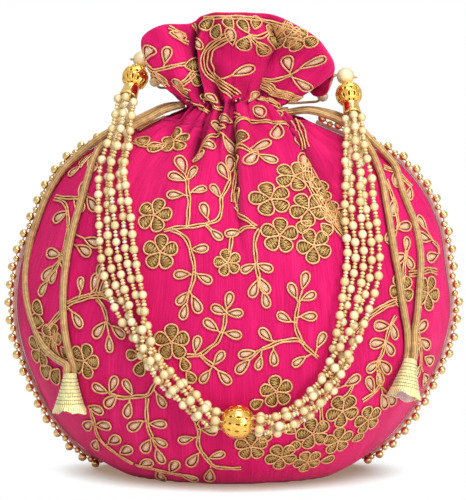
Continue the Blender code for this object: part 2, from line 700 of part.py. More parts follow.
# Pearl strands: five strings of beads run from cap to cap through the ball. They lie side by
# side on the fullest part of the bag and wind round one another as a rope near the ball.
# A route point is (x, z) on the front of the bag or (x, y, z) in the air, and then how far
# the strands are drawn together there, from 0, side by side, to 1, a rope
ROUTES = {
    "left": [((-56, -15.4, 178.5), 1), ((-58, -21.8, 166.5), 0.75), ((-58.8, 152), 0.5),
             ((-58.4, 140.3), 0.3), ((-57.4, 128.5), 0.1), ((-56.6, 116.7), 0),
             ((-54.3, 104.9), 0.05), ((-50.7, 94), 0.25), ((-44.8, 79), 0.6), ((-37.5, 64), 0.9),
             ((-30.8, 56.5), 1), ((-23.5, 50), 1), ((-15.5, 42), 1)],
    "right": [((20, 37), 1), ((28, 40.5), 1), ((35.5, 47), 1), ((42.5, 56), 1),
              ((49.8, 71), 0.8), ((54.2, 86.2), 0.4), ((58.4, 99), 0.15), ((60.2, 107), 0.05),
              ((60.8, 116.5), 0), ((59.5, 128.4), 0.1), ((58.3, 140.2), 0.3), ((58.3, 150), 0.5),
              ((58.8, -24.6, 160.5), 0.75), ((58.8, -17.6, 170.5), 1)]}
IN_AIR_OUT = unit(np.array([0, -0.8, 0.6]))
TWIST = 1.0
TWIST_REACH = 75.0
ROPE_RING = STRAND_SPACING / (2 * math.sin(math.pi / STRANDS)) * ROPE_EASE
ROPE_PLACES = [162, 234, 90, 306, 18]
REST = PEARL / 2 + GAP + CORD_SAG
ROPE_HEIGHT = ROPE_RING + REST
BORE_DEPTH = math.sqrt((CENTRE_BALL / 2) ** 2 - (CENTRE_BORE / 2) ** 2)


def handle_line():
    """The handle's middle line from inside the left cap to inside the right one.

    Each row is a point, how far the strands are drawn together, and the way off the bag.
    The lengths along it at the two mouths and at the ball's two holes come with it.
    """
    halves, marks = {}, []
    for hand, outward in (("left", -CENTRE_AXIS), ("right", CENTRE_AXIS)):
        mouth = HINGES[hand] + HANGS[hand] * (BALL_DROP + CAP_END)
        hole = centre_ball + outward * BORE_DEPTH
        marks += [mouth, hole] if hand == "left" else [hole, mouth]
        cap_end = [(mouth + HANGS[hand] * d, 1, IN_AIR_OUT) for d in (-3, 0, 5)]
        on_way = []
        for place, drawn in ROUTES[hand]:
            out = IN_AIR_OUT
            if len(place) == 2:
                place, out = on_front(BAG, *place, REST + drawn * (ROPE_HEIGHT - REST))
            on_way.append((place, drawn, out))
        ball_end = [(hole + outward * 5, 1, CENTRE_OUT), (hole, 1, CENTRE_OUT)]
        halves[hand] = (cap_end + on_way + ball_end if hand == "left"
                        else ball_end[::-1] + on_way + cap_end[::-1])
    rows = halves["left"] + [(centre_ball, 1, CENTRE_OUT)] + halves["right"]
    line = smooth_curve([[*p, drawn, *out] for p, drawn, out in rows])
    run = lengths_along(line[:, :3])
    at = [run[np.argmin(np.linalg.norm(line[:, :3] - p, axis=1))] for p in marks]
    return line, run, at


def spread_apart(places, floor):
    """Strand places in one cut across the bundle, moved until none is closer than a pearl."""
    places = np.array(places, float)
    for _ in range(60):
        for i in range(len(places)):
            for j in range(i):
                between = places[i] - places[j]
                gap = np.linalg.norm(between)
                if gap < STRAND_SPACING:
                    push = unit(between) * (STRAND_SPACING - gap) / 2
                    places[i] += push
                    places[j] -= push
        places[:, 1] = np.maximum(places[:, 1], floor)
    return places


def strand_places(drawn, twist, ring):
    """Where the strands sit across the bundle: side by side, or round a twisted ring."""
    places = []
    for i, place in enumerate(ROPE_PLACES):
        turn = math.radians(place) + 2 * math.pi * twist
        flat = ((i - (STRANDS - 1) / 2) * STRAND_SPACING, 0.0)
        rope = (ring * math.cos(turn), ring * math.sin(turn))
        places.append([drawn * rope[k] + (1 - drawn) * flat[k] for k in range(2)])
    if ring < ROPE_RING:
        return np.array(places)
    return spread_apart(places, -drawn * (ROPE_HEIGHT - REST))


LINE, RUN, (LEFT_MOUTH, LEFT_HOLE, RIGHT_HOLE, RIGHT_MOUTH) = handle_line()


def bead_stops(number):
    """Lengths along the middle line, each with the strand's radius there."""
    half = PEARL * 0.42
    stops = [(0.0, THREAD / 2)]
    for start, end in ((LEFT_MOUTH, LEFT_HOLE), (RIGHT_HOLE, RIGHT_MOUTH)):
        first, last = start + PEARL * 0.75, end - PEARL * 0.75
        count = round((last - first) / STRAND_PITCH)
        slip = STRAND_PITCH * 0.3 * math.sin(2.4 * number + start)
        stops += [(start, THREAD / 2), (first - half - 0.4, THREAD / 2)]
        for k in range(count + 1):
            at = first + (last - first) * k / count + slip * math.sin(math.pi * k / count)
            stops += [(at - half, SEED / 2), (at, PEARL / 2), (at + half, SEED / 2)]
        stops += [(last + half + 0.4, THREAD / 2), (end, THREAD / 2)]
    return stops + [(RUN[-1], THREAD / 2)]


def strand(number):
    rings = []
    middle = (LEFT_HOLE + RIGHT_HOLE) / 2
    for at, radius in bead_stops(number):
        here, behind, ahead = (np.array([np.interp(at + d, RUN, LINE[:, k]) for k in range(7)])
                               for d in (0, -1.5, 1.5))
        along = unit(ahead[:3] - behind[:3])
        up = unit(here[4:] - along * (here[4:] @ along))
        mouth, hole = ((LEFT_MOUTH, LEFT_HOLE) if at < middle else (-RIGHT_MOUTH, -RIGHT_HOLE))
        place = at if at < middle else -at
        open_out = ease(mouth, mouth + 3, place) * ease(hole, hole - 3, place)
        ring = THREAD_RING + (ROPE_RING - THREAD_RING) * open_out
        turns = np.interp(at, [LEFT_HOLE - TWIST_REACH, LEFT_HOLE, RIGHT_HOLE,
                               RIGHT_HOLE + TWIST_REACH], [0, TWIST, TWIST, 2 * TWIST])
        across, height = strand_places(here[3], turns, ring)[number]
        p = here[:3] + np.cross(up, along) * across + up * height
        if open_out == 1:
            p = stand_clear([p], BAG, REST)[0]
        rings.append((p, up, radius))
    points, faces = [], []
    for i, (p, up, radius) in enumerate(rings):
        ahead = unit(rings[min(i + 1, len(rings) - 1)][0] - rings[max(i - 1, 0)][0])
        side = unit(np.cross(ahead, up))
        other = np.cross(side, ahead)
        for k in range(STRAND_SIDES):
            turn = 2 * math.pi * k / STRAND_SIDES
            points.append(p + radius * (math.cos(turn) * side + math.sin(turn) * other))
    for i in range(len(rings) - 1):
        for k in range(STRAND_SIDES):
            a, b = i * STRAND_SIDES + k, i * STRAND_SIDES + (k + 1) % STRAND_SIDES
            faces.append((a, b, b + STRAND_SIDES, a + STRAND_SIDES))
    faces.append(tuple(range(STRAND_SIDES)))
    faces.append(tuple(range(len(points) - STRAND_SIDES, len(points))))
    return add_object(f"pearl_strand_{number + 1}", points, faces, PEARL_WHITE, 75)


for number in range(STRANDS):
    strand(number)

# The swinging pieces turn about the line through the two hinge pearls, so each has its origin
# on that line, midway between them
HANDLE_PIECES = [f"{piece}_{hand}" for hand in HINGES
                 for piece in ("hinge_pearl", "end_ball", "cap", "hanger")]
HANDLE_PIECES += ["centre_ball", *(f"pearl_strand_{n + 1}" for n in range(STRANDS))]
for name in HANDLE_PIECES:
    piece = bpy.data.objects[name]
    pivot = Vector((HINGES["left"] + HINGES["right"]) / 2 * MM)
    piece.data.transform(Matrix.Translation(-pivot))
    piece.location = pivot
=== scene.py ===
import math

import bmesh
import bpy
import numpy as np
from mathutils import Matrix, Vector


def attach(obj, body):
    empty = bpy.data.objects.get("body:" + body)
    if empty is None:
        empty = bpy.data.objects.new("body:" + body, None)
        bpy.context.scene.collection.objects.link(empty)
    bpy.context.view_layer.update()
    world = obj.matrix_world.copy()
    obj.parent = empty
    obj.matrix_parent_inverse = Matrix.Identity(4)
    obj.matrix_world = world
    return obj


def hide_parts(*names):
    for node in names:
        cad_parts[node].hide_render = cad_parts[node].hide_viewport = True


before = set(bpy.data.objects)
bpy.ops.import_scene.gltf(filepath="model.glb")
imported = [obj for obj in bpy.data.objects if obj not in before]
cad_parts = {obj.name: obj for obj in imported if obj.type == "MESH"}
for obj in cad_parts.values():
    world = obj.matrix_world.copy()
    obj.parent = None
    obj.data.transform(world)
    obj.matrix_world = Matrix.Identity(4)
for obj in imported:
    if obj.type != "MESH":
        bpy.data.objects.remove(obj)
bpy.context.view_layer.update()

MM = 0.001

# The shot
# A pale table top under even studio light, with the camera a metre away and a little above
# the bag's middle, as in a catalogue picture. None of this is part of the bag.
TABLE_SIZE = 6.0
CAMERA_AIM = Vector((0, 0, 0.118))
CAMERA_AWAY = 1.1
CAMERA_RISE = math.radians(5)
LENS = 156.8
SHIFT = (-0.006, -0.0206)
ROOM_LIGHT, ROOM_MIRRORED = 0.395, 0.7
TABLE_NEAR, TABLE_FAR = 0.04, 0.078
SHADOW_REACH, SHADOW_BROWN = 0.022, (0.34, 0.22, 0.16, 1)
LAMPS = (("key", (0.2, -0.8, 1.45), 0.45, 0.45, 14.6), ("top", (0.15, 0.25, 1.4), 0.8, 0.8, 5.0),
         ("strip", (0.95, -1.1, 0.1), 0.3, 1.2, 13.5))


def put(tree, kind, inputs=None, **settings):
    """A node in a tree, with its settings made and its inputs given values or sockets."""
    node = tree.nodes.new(kind)
    for key, value in settings.items():
        setattr(node, key, value)
    for key, value in (inputs or {}).items():
        if isinstance(value, bpy.types.NodeSocket):
            tree.links.new(value, node.inputs[key])
        else:
            node.inputs[key].default_value = value
    return node


def sums(tree, operation, *values):
    """A Math node's result."""
    return put(tree, "ShaderNodeMath", dict(enumerate(values)), operation=operation).outputs[0]


def straight_ray(tree):
    """1 where a ray comes from the camera or through glass."""
    path = put(tree, "ShaderNodeLightPath").outputs
    return sums(tree, "MAXIMUM", path["Is Camera Ray"], path["Is Transmission Ray"])


room = bpy.data.worlds.new("studio")
room.use_nodes = True
bpy.context.scene.world = room
tree = room.node_tree
tree.nodes.clear()
lit = put(tree, "ShaderNodeBackground", {"Color": (1, 1, 1, 1), "Strength": ROOM_LIGHT})
mirrored = put(tree, "ShaderNodeBackground", {"Color": (1, 0.97, 0.92, 1),
                                              "Strength": ROOM_MIRRORED})
white = put(tree, "ShaderNodeBackground", {"Color": (1, 1, 1, 1), "Strength": 1.0})
glossy = put(tree, "ShaderNodeLightPath").outputs["Is Glossy Ray"]
both = put(tree, "ShaderNodeMixShader", {0: glossy, 1: lit.outputs[0], 2: mirrored.outputs[0]})
both = put(tree, "ShaderNodeMixShader", {0: straight_ray(tree), 1: both.outputs[0],
                                         2: white.outputs[0]})
put(tree, "ShaderNodeOutputWorld", {"Surface": both.outputs[0]})

table_top = bpy.data.materials.new("table_top")
table_top.use_nodes = True
tree = table_top.node_tree
tree.nodes.clear()
place = put(tree, "ShaderNodeTexCoord").outputs["Object"]
away = put(tree, "ShaderNodeVectorMath", {0: place}, operation="LENGTH").outputs["Value"]
far = put(tree, "ShaderNodeMapRange", {"Value": away, "From Min": TABLE_NEAR,
                                       "From Max": TABLE_FAR}).outputs[0]
matt = put(tree, "ShaderNodeBsdfDiffuse", {"Color": (0.93, 0.93, 0.93, 1)})
glow = put(tree, "ShaderNodeEmission", {"Color": (1, 1, 1, 1), "Strength": 0.45})
white = put(tree, "ShaderNodeEmission", {"Color": (1, 1, 1, 1), "Strength": 1.0})
lifted = put(tree, "ShaderNodeAddShader", {0: matt.outputs[0], 1: glow.outputs[0]})
faded = put(tree, "ShaderNodeMixShader", {0: far, 1: lifted.outputs[0], 2: white.outputs[0]})
open_to_light = put(tree, "ShaderNodeAmbientOcclusion", {"Distance": SHADOW_REACH}).outputs["AO"]
under = put(tree, "ShaderNodeMapRange", {"Value": open_to_light, "From Min": 0.15,
                                         "From Max": 0.8, "To Min": 1.0, "To Max": 0.0}).outputs[0]
brown = put(tree, "ShaderNodeEmission", {"Color": SHADOW_BROWN, "Strength": 1.0})
faded = put(tree, "ShaderNodeMixShader", {0: under, 1: faded.outputs[0], 2: brown.outputs[0]})
both = put(tree, "ShaderNodeMixShader",
           {0: straight_ray(tree), 1: matt.outputs[0], 2: faded.outputs[0]})
put(tree, "ShaderNodeOutputMaterial", {"Surface": both.outputs[0]})

half = TABLE_SIZE / 2
mesh = bpy.data.meshes.new("table")
mesh.from_pydata([(-half, -half, 0), (half, -half, 0), (half, half, 0), (-half, half, 0)], [],
                 [(0, 1, 2, 3)])
mesh.materials.append(table_top)
table = bpy.data.objects.new("table", mesh)
bpy.context.scene.collection.objects.link(table)

view = bpy.data.cameras.new("camera")
view.lens = LENS
view.shift_x, view.shift_y = SHIFT
camera = bpy.data.objects.new("camera", view)
camera.location = CAMERA_AIM + CAMERA_AWAY * Vector((0, -math.cos(CAMERA_RISE), math.sin(CAMERA_RISE)))
camera.rotation_euler = (math.pi / 2 - CAMERA_RISE, 0, 0)
bpy.context.scene.collection.objects.link(camera)
bpy.context.scene.camera = camera

for name, place, wide, tall, watts in LAMPS:
    lamp = bpy.data.lights.new(name, "AREA")
    lamp.shape, lamp.size, lamp.size_y, lamp.energy = "RECTANGLE", wide, tall, watts
    holder = bpy.data.objects.new(name, lamp)
    holder.location = place
    aim = CAMERA_AIM - Vector(place)
    holder.rotation_euler = aim.to_track_quat("-Z", "Y").to_euler()
    bpy.context.scene.collection.objects.link(holder)
bpy.context.scene.view_settings.view_transform = "Standard"


# Silk panels
# Front and back are cut from embroidered raw silk, sewn together round the sides and base,
# and drawn in at the neck, above which the same cloth stands up as a ruffled frill.
SEAM_RIGHT = [(52, 4.5), (74, 16.5), (89, 32), (98, 48.5), (105.2, 64), (108.7, 83), (106, 105),
              (103.2, 123), (95, 141.5), (80.5, 158), (60, 167.6), (40.2, 176.4), (24.2, 184)]
SEAM_LEFT = [(-54, 4.5), (-82, 16), (-95.6, 32), (-103, 48.5), (-108.5, 65), (-111, 84),
             (-108.7, 105.7), (-102.5, 122), (-92.5, 144), (-79, 160), (-56, 171.6),
             (-36, 179.8), (-25.2, 184)]
SEAM_BACK, SEAM_TURN = 19.0, 70.0
MIDDLE_FRONT = [(22, 3), (12, -7), (0, -8), (-18, -8), (-31, -3), (-43, 7), (-53, 24), (-59, 45),
                (-61.5, 68), (-60, 92), (-55, 116), (-46, 139), (-34, 160), (-24, 174),
                (-17, 183), (-15.5, 187)]
MIDDLE_BACK = [(22, 3), (25.5, 9.5), (35, 23), (43.5, 42), (49, 66), (49, 92), (45, 118),
               (38, 142), (29, 162), (21, 176), (16.5, 183), (15.5, 187)]
FRILL_FRONT_FULL = [(-1, -35, -1, 201), (-0.86, -36.5, -7, 201), (-0.76, -38.5, -12.5, 199),
                    (-0.66, -36, -17, 203), (-0.54, -29, -19, 207), (-0.44, -20.5, -12, 208),
                    (-0.36, -17.5, -9, 208), (-0.29, -15, -14, 209), (-0.2, -12, -11.5, 209),
                    (-0.1, -6, -18, 209), (0.05, 3, -20, 209), (0.17, 10, -18, 209),
                    (0.26, 13.5, -10.5, 209), (0.35, 17.5, -15, 208), (0.48, 26.5, -19, 206),
                    (0.65, 37, -18, 202), (0.8, 43.5, -12.5, 198), (0.92, 43, -6, 197),
                    (1, 40, -1, 198)]
FRILL_FRONT_RIM = [(-1, -38.5, -1, 213), (-0.86, -42.5, -8.5, 213), (-0.76, -45.7, -14.6, 211),
                   (-0.66, -45.7, -17.2, 220), (-0.55, -36.5, -19.6, 225.8),
                   (-0.42, -22, -14, 226.5), (-0.34, -17.5, -16, 230), (-0.2, -11, -21, 231.5),
                   (0, 0, -23, 231.8), (0.18, 10, -22, 231.5), (0.34, 21, -20, 229.5),
                   (0.5, 32, -19, 224.5), (0.66, 41.5, -17, 218), (0.8, 48, -12, 209.5),
                   (0.9, 49, -8, 203), (1, 46.5, -3, 197)]
FRILL_BACK_FULL = [(-1, -35, -1, 201), (-0.8, -34, 5, 203), (-0.6, -28, 10, 206),
                   (-0.42, -18, 11, 207), (-0.2, -8, 17, 208), (0.05, 2, 12, 208),
                   (0.3, 14, 17, 206), (0.5, 24, 11, 203), (0.7, 33, 9, 198),
                   (0.86, 38, 4, 196), (1, 40, -1, 198)]
FRILL_BACK_RIM = [(-1, -38.5, -1, 213), (-0.8, -36, 5, 216), (-0.6, -28, 11, 220),
                  (-0.42, -18, 13, 224), (-0.2, -8, 19, 226), (0.05, 2, 16, 227),
                  (0.3, 14, 19, 224), (0.5, 25, 15, 213), (0.66, 34, 10, 199),
                  (0.78, 39.5, 6, 190.5), (0.9, 45, 1.5, 191.5), (1, 46.5, -3, 197)]
GATHERS, GATHER_DEPTH, FRILL_SWELL = 15, 1.5, 2.2
NECK_SLIT = 0.22
CLOTH_THICKNESS = 0.8
PANEL_COLUMNS, BODY_ROWS, FRILL_ROWS = 216, 90, 42
FRONT, BACK = -1, 1

# Creases that run down from the neck: share across at the top and at the foot, how far down
# the foot is, then depth and how far the cloth takes to recover on the left and the right
CREASES = {FRONT: [(0.07, 0.01, 0.70, 7.5, 0.1, 0.024), (-0.36, -0.28, 0.81, 7.5, 0.04, 0.08),
                   (0.42, 0.6, 0.70, 9.0, 0.03, 0.11), (-0.78, -0.5, 0.86, 3.5, 0.05, 0.06),
                   (-0.14, -0.1, 0.77, 3.2, 0.05, 0.03), (0.24, 0.17, 0.88, 2.6, 0.03, 0.04),
                   (0.75, 0.85, 0.84, 3.5, 0.05, 0.05), (-0.55, -0.42, 0.88, 2.6, 0.03, 0.04)],
           BACK: [(-0.45, -0.5, 0.8, 4.5, 0.06, 0.03), (0.3, 0.42, 0.78, 4.5, 0.03, 0.07),
                  (0.0, -0.04, 0.84, 3.5, 0.05, 0.04), (0.66, 0.78, 0.85, 3.0, 0.06, 0.05)]}
# Pleats in the frill, in the same way: share at the neck and further up, how far up, depth
# and widths
PLEATS = {FRONT: [(-0.3, -0.42, 2.0, 7.0, 0.18, 0.035), (0.28, 0.38, 1.95, 14.0, 0.05, 0.34),
                  (0.17, 0.22, 1.75, 11.0, 0.14, 0.06), (-0.14, -0.17, 1.5, 2.6, 0.04, 0.03),
                  (0.55, 0.68, 1.65, 3.0, 0.04, 0.06), (-0.62, -0.74, 1.65, 3.2, 0.05, 0.04),
                  (0.03, 0.02, 1.3, 2.5, 0.03, 0.02), (-0.47, -0.52, 1.4, 2.2, 0.03, 0.03)],
          BACK: [(-0.3, -0.36, 1.8, 4.0, 0.05, 0.04), (0.15, 0.12, 1.7, 3.5, 0.04, 0.05),
                 (0.5, 0.58, 1.6, 3.0, 0.04, 0.04)]}
# Where the cords run in the casing, folds stay this shallow, and let go this fast above
# and below it
CASING_ROOM, CASING_HALF, ROOM_GROWS = 2.2, 0.025, 90.0
FOLD_LEAN = 0.75


def smooth_line(points, density=12):
    """A dense curve through the points."""
    p = np.array(points, float)
    q = np.vstack([2 * p[0] - p[1], p, 2 * p[-1] - p[-2]])
    t = np.linspace(0, 1, density, endpoint=False)[:, None]
    dense = [0.5 * (2 * b + (c - a) * t + (2 * a - 5 * b + 4 * c - d) * t**2
                    + (3 * b - a - 3 * c + d) * t**3)
             for a, b, c, d in zip(q, q[1:], q[2:], q[3:])]
    return np.vstack([*dense, p[-1:]])


def run_of(line):
    """The length along a line at each of its points."""
    return np.concatenate([[0.0], np.cumsum(np.linalg.norm(np.diff(line, axis=0), axis=1))])


def by_share(points):
    """A curve through the points as a function of the share of its length."""
    line = smooth_line(points)
    run = run_of(line)
    return lambda share: np.stack([np.interp(share, run / run[-1], line[:, k])
                                   for k in range(line.shape[1])], -1)


def by_table(table):
    """Smooth (x, y, z) values from rows of (share, x, y, z)."""
    rows = np.array(table, float)

    def value(share):
        i = np.clip(np.searchsorted(rows[:, 0], share) - 1, 0, len(rows) - 2)
        a, b, c, d = (rows[np.clip(i + k, 0, len(rows) - 1)] for k in (-1, 0, 1, 2))
        width = (c[..., :1] - b[..., :1])
        t = (share[..., None] - b[..., :1]) / width
        start = (c - a)[..., 1:] / (c - a)[..., :1] * width
        end = (d - b)[..., 1:] / (d - b)[..., :1] * width
        return ((2 * t**3 - 3 * t**2 + 1) * b[..., 1:] + (t**3 - 2 * t**2 + t) * start
                + (3 * t**2 - 2 * t**3) * c[..., 1:] + (t**3 - t**2) * end)
    return value


def ease(low, high, value):
    t = np.clip((value - low) / (high - low), 0, 1)
    return t * t * (3 - 2 * t)


def unit(vectors):
    return vectors / np.maximum(np.linalg.norm(vectors, axis=-1, keepdims=True), 1e-9)


SEAMS = {"right": by_share(SEAM_RIGHT), "left": by_share(SEAM_LEFT)}
MIDDLES = {FRONT: by_share(MIDDLE_FRONT), BACK: by_share(MIDDLE_BACK)}
FRILLS = {FRONT: (by_table(FRILL_FRONT_FULL), by_table(FRILL_FRONT_RIM)),
          BACK: (by_table(FRILL_BACK_FULL), by_table(FRILL_BACK_RIM))}


def seam(hand, v):
    flat = SEAMS[hand](v)
    y = SEAM_BACK * np.maximum(0.0, 1 - flat[..., 1] / SEAM_TURN) ** 1.5
    return np.stack([flat[..., 0], y, flat[..., 1]], -1)


def crossed(aside, left, right):
    """How deep a fold is across it: 1 on its line, easing off at its own rate on each side."""
    return np.exp(-(aside / np.where(aside < 0, left, right)) ** 2)


def leaned(aside, left, right):
    """How far the cloth on a fold's steep side leans over it, by the same rates."""
    steep, hand = np.minimum(left, right) * 1.5, np.where(right < left, 1, -1)
    over = np.maximum(aside * hand / steep, 0)
    return -hand * FOLD_LEAN * (1 - steep / 1.5 / np.maximum(left, right)) * over * np.exp(1 - over)


def fold_depth(side, s, v):
    """How far the gathers, creases and pleats move the cloth outwards, and along it to the
    right, where a fold leans over its steep side."""
    inside = ease(0.97, 0.72, np.abs(s))
    lean = 0 * s
    by_neck = ease(0.88, 0.98, v) * ease(1.4, 1.05, v)
    puffs = np.abs(np.sin(math.pi / 2 * GATHERS * (s + 0.06 + 0.03 * np.sin(7 * s)))) ** 0.7
    shift = GATHER_DEPTH * by_neck * (2 * puffs - 0.8)
    shift += 0.5 * by_neck * np.cos(23 * s + 4 * np.sin(3 * s) + 9 * v)
    for top, foot, low, depth, left, right in CREASES[side]:
        down = np.clip((1 - v) / (1 - low), 0, 1)
        fade = (1 - down ** 2.4) * ease(1.06, 0.99, v)
        wide = 1 + 0.8 * down
        aside = s - top - (foot - top) * down
        shift -= depth * fade * crossed(aside, left * wide, right * wide)
        lean += depth * fade * leaned(aside, left * wide, right * wide)
    for neck, rim, high, depth, left, right in PLEATS[side]:
        up = np.clip((v - 1) / (high - 1), 0, 1)
        fade = ease(0, 0.4, 1 - up) * ease(1.0, 1.12, v)
        wide = 1 + up
        aside = s - neck - (rim - neck) * up
        shift -= depth * fade * crossed(aside, left * wide, right * wide)
        lean += depth * fade * leaned(aside, left * wide, right * wide)
    shift += FRILL_SWELL * ease(1.12, 1.42, v) * ease(2.0, 1.55, v)
    room = CASING_ROOM + ROOM_GROWS * np.maximum(np.abs(v - 1) - CASING_HALF, 0)
    shift = np.maximum(shift, -room)
    belly = ease(0.95, 0.75, v) * ease(0.1, 0.25, v)
    shift -= 0.3 * belly * (1 + np.sin(9 * s + 7 * v) * np.sin(13 * v - 4 * s + 1))
    shift += ease(1.15, 1.5, v) * 0.6 * np.sin(15 * s + 6 * v) * np.sin(7 * v + 9 * s)
    return inside * shift, inside * lean


def folds_out(s, v, p):
    """The way the folds move the cloth: level at the neck, more upward on the shoulder."""
    outward = unit(np.stack([0.5 * p[..., 0], p[..., 1], 0 * s], -1))
    outward[..., 2] = 0.8 * ease(1.0, 0.94, v) * ease(0.6, 0.85, v)
    return outward


def cloth(side, s, v, folds=True):
    """Points of a panel in millimetres. s runs from the left seam, -1, to the right, 1, and v
    from the bottom seam, 0, through the neck, 1, to the frill's rim, 2."""
    s, v = (np.array(value, float) for value in np.broadcast_arrays(s, v))
    low = np.minimum(v, 1)
    left, right, middle = seam("left", low), seam("right", low), MIDDLES[side](low)
    gather = ease(0.6, 1.0, low)
    span = (1 - gather) * s + gather * np.sin(math.pi / 2 * s)
    rise = (1 - gather) * np.maximum(0.0, 1 - np.abs(s) ** 2.2) ** 0.75
    rise += gather * np.cos(math.pi / 2 * s)
    p = left + (right - left) * ((span + 1) / 2)[..., None]
    p[..., 1:] += (middle - p[..., 1:]) * rise[..., None]
    t = np.clip(v - 1, 0, 1)[..., None]
    full, rim = (table(s) for table in FRILLS[side])
    p = p * (1 - t) * (1 - 2 * t) + full * 4 * t * (1 - t) + rim * t * (2 * t - 1)
    if folds:
        shift, lean = fold_depth(side, s, v)
        p = p + folds_out(s, v, p) * shift[..., None]
        p[..., 0] += lean
    p[..., 2] = np.where(v < 1, np.maximum(p[..., 2], 0), p[..., 2])
    return p


def cloth_ways(side, s, v, folds=True):
    """The way out of the cloth, and how it moves for each step of s and of v."""
    s, v = (np.array(value, float) for value in np.broadcast_arrays(s, v))
    low_s, high_s = np.maximum(s - 0.006, -1), np.minimum(s + 0.006, 1)
    low_v, high_v = np.maximum(v - 0.004, 0), np.minimum(v + 0.004, 2)
    along_s = cloth(side, high_s, v, folds) - cloth(side, low_s, v, folds)
    along_v = cloth(side, s, high_v, folds) - cloth(side, s, low_v, folds)
    out = unit(np.cross(along_s, along_v)) * -side
    return out, along_s / (high_s - low_s)[..., None], along_v / (high_v - low_v)[..., None]


def neck_slit(v):
    """The side edges stand back at the neck, where the drawstrings come out."""
    return 1 - NECK_SLIT * ease(0.93, 0.97, v) * ease(1.28, 1.1, v)


def add_mesh(name, points, faces, *finishes, smooth=True):
    """An object from points in millimetres."""
    mesh = bpy.data.meshes.new(name)
    mesh.from_pydata(np.array(points, float) * MM, [], faces)
    for made in finishes:
        mesh.materials.append(made)
    if smooth:
        mesh.shade_smooth()
    made = bpy.data.objects.new(name, mesh)
    bpy.context.scene.collection.objects.link(made)
    return made


def grid_faces(rows, columns, flip=False):
    """Faces between rows of points."""
    quads = []
    for i in range(rows - 1):
        for j in range(columns - 1):
            a = i * columns + j
            quad = (a, a + 1, a + columns + 1, a + columns)
            quads.append(quad[::-1] if flip else quad)
    return quads


def add_uv(made, flat):
    """A UV map in metres from one flat place for each point."""
    layer = made.data.uv_layers.new(name="cut")
    index = np.zeros(len(made.data.loops), int)
    made.data.loops.foreach_get("vertex_index", index)
    layer.data.foreach_set("uv", (np.array(flat)[index] * MM).ravel())


def finish(name, colour, roughness, metallic=0.0, **more):
    """A material with a Principled shader, ready for its pattern."""
    made = bpy.data.materials.new(name)
    made.use_nodes = True
    shader = made.node_tree.nodes["Principled BSDF"]
    values = {"Base Color": (*colour, 1), "Roughness": roughness, "Metallic": metallic, **more}
    for key, value in values.items():
        shader.inputs[key].default_value = value
    made.diffuse_color = (*colour, 1)
    return made, made.node_tree, shader


def ramp(tree, value, *stops):
    """A colour ramp from (place, colour) stops."""
    node = put(tree, "ShaderNodeValToRGB", {0: value})
    band = node.color_ramp.elements
    while len(band) < len(stops):
        band.new(0.5)
    for element, (place, colour) in zip(band, stops):
        element.position = place
        element.color = (*colour, 1)
    return node.outputs[0]


def noise(tree, vector, scale, detail=3.0, rough=0.5):
    return put(tree, "ShaderNodeTexNoise", {"Vector": vector, "Scale": scale, "Detail": detail,
                                            "Roughness": rough}).outputs["Fac"]


def stretched(tree, vector, scale):
    return put(tree, "ShaderNodeMapping", {"Vector": vector, "Scale": scale}).outputs[0]


def slub_group():
    """Raw silk's weave: long uneven slubs one way and fine threads both ways."""
    group = bpy.data.node_groups.new("slub weave", "ShaderNodeTree")
    group.interface.new_socket("Cut", in_out="INPUT", socket_type="NodeSocketVector")
    for name, value in (("Slubs per metre", 900.0), ("Threads per metre", 2600.0)):
        socket = group.interface.new_socket(name, in_out="INPUT", socket_type="NodeSocketFloat")
        socket.default_value = value
    group.interface.new_socket("Shade", in_out="OUTPUT", socket_type="NodeSocketFloat")
    group.interface.new_socket("Height", in_out="OUTPUT", socket_type="NodeSocketFloat")
    given = put(group, "NodeGroupInput").outputs
    cut = given["Cut"]
    slubs = noise(group, stretched(group, cut, (1.0, 0.06, 1.0)), given["Slubs per metre"], 4.0, 0.6)
    broad = noise(group, stretched(group, cut, (1.0, 0.12, 1.0)), 120.0, 2.0)
    patches = noise(group, cut, 28.0, 2.0)
    warp = put(group, "ShaderNodeTexWave", {"Vector": cut, "Scale": given["Threads per metre"],
                                            "Distortion": 1.5, "Detail": 1.0}).outputs["Fac"]
    weft = put(group, "ShaderNodeTexWave", {"Vector": cut, "Scale": given["Threads per metre"],
                                            "Distortion": 1.5, "Detail": 1.0},
               bands_direction="Y").outputs["Fac"]
    shade = sums(group, "ADD", sums(group, "MULTIPLY", slubs, 0.45),
                 sums(group, "ADD", sums(group, "MULTIPLY", broad, 0.35),
                      sums(group, "MULTIPLY", patches, 0.2)))
    height = sums(group, "ADD", sums(group, "MULTIPLY", slubs, 0.8),
                  sums(group, "MULTIPLY", sums(group, "ADD", warp, weft), 0.1))
    put(group, "NodeGroupOutput", {"Shade": shade, "Height": height})
    return group


SLUB = slub_group()


def shaded(tree, reach, dark, light, only_local=False):
    """From 0 in the open to 1 where little light comes in from within reach."""
    open_to_light = put(tree, "ShaderNodeAmbientOcclusion", {"Distance": reach},
                        samples=8, only_local=only_local).outputs["AO"]
    return put(tree, "ShaderNodeMapRange", {"Value": open_to_light, "From Min": dark,
                                            "From Max": light, "To Min": 1.0,
                                            "To Max": 0.0}).outputs[0]


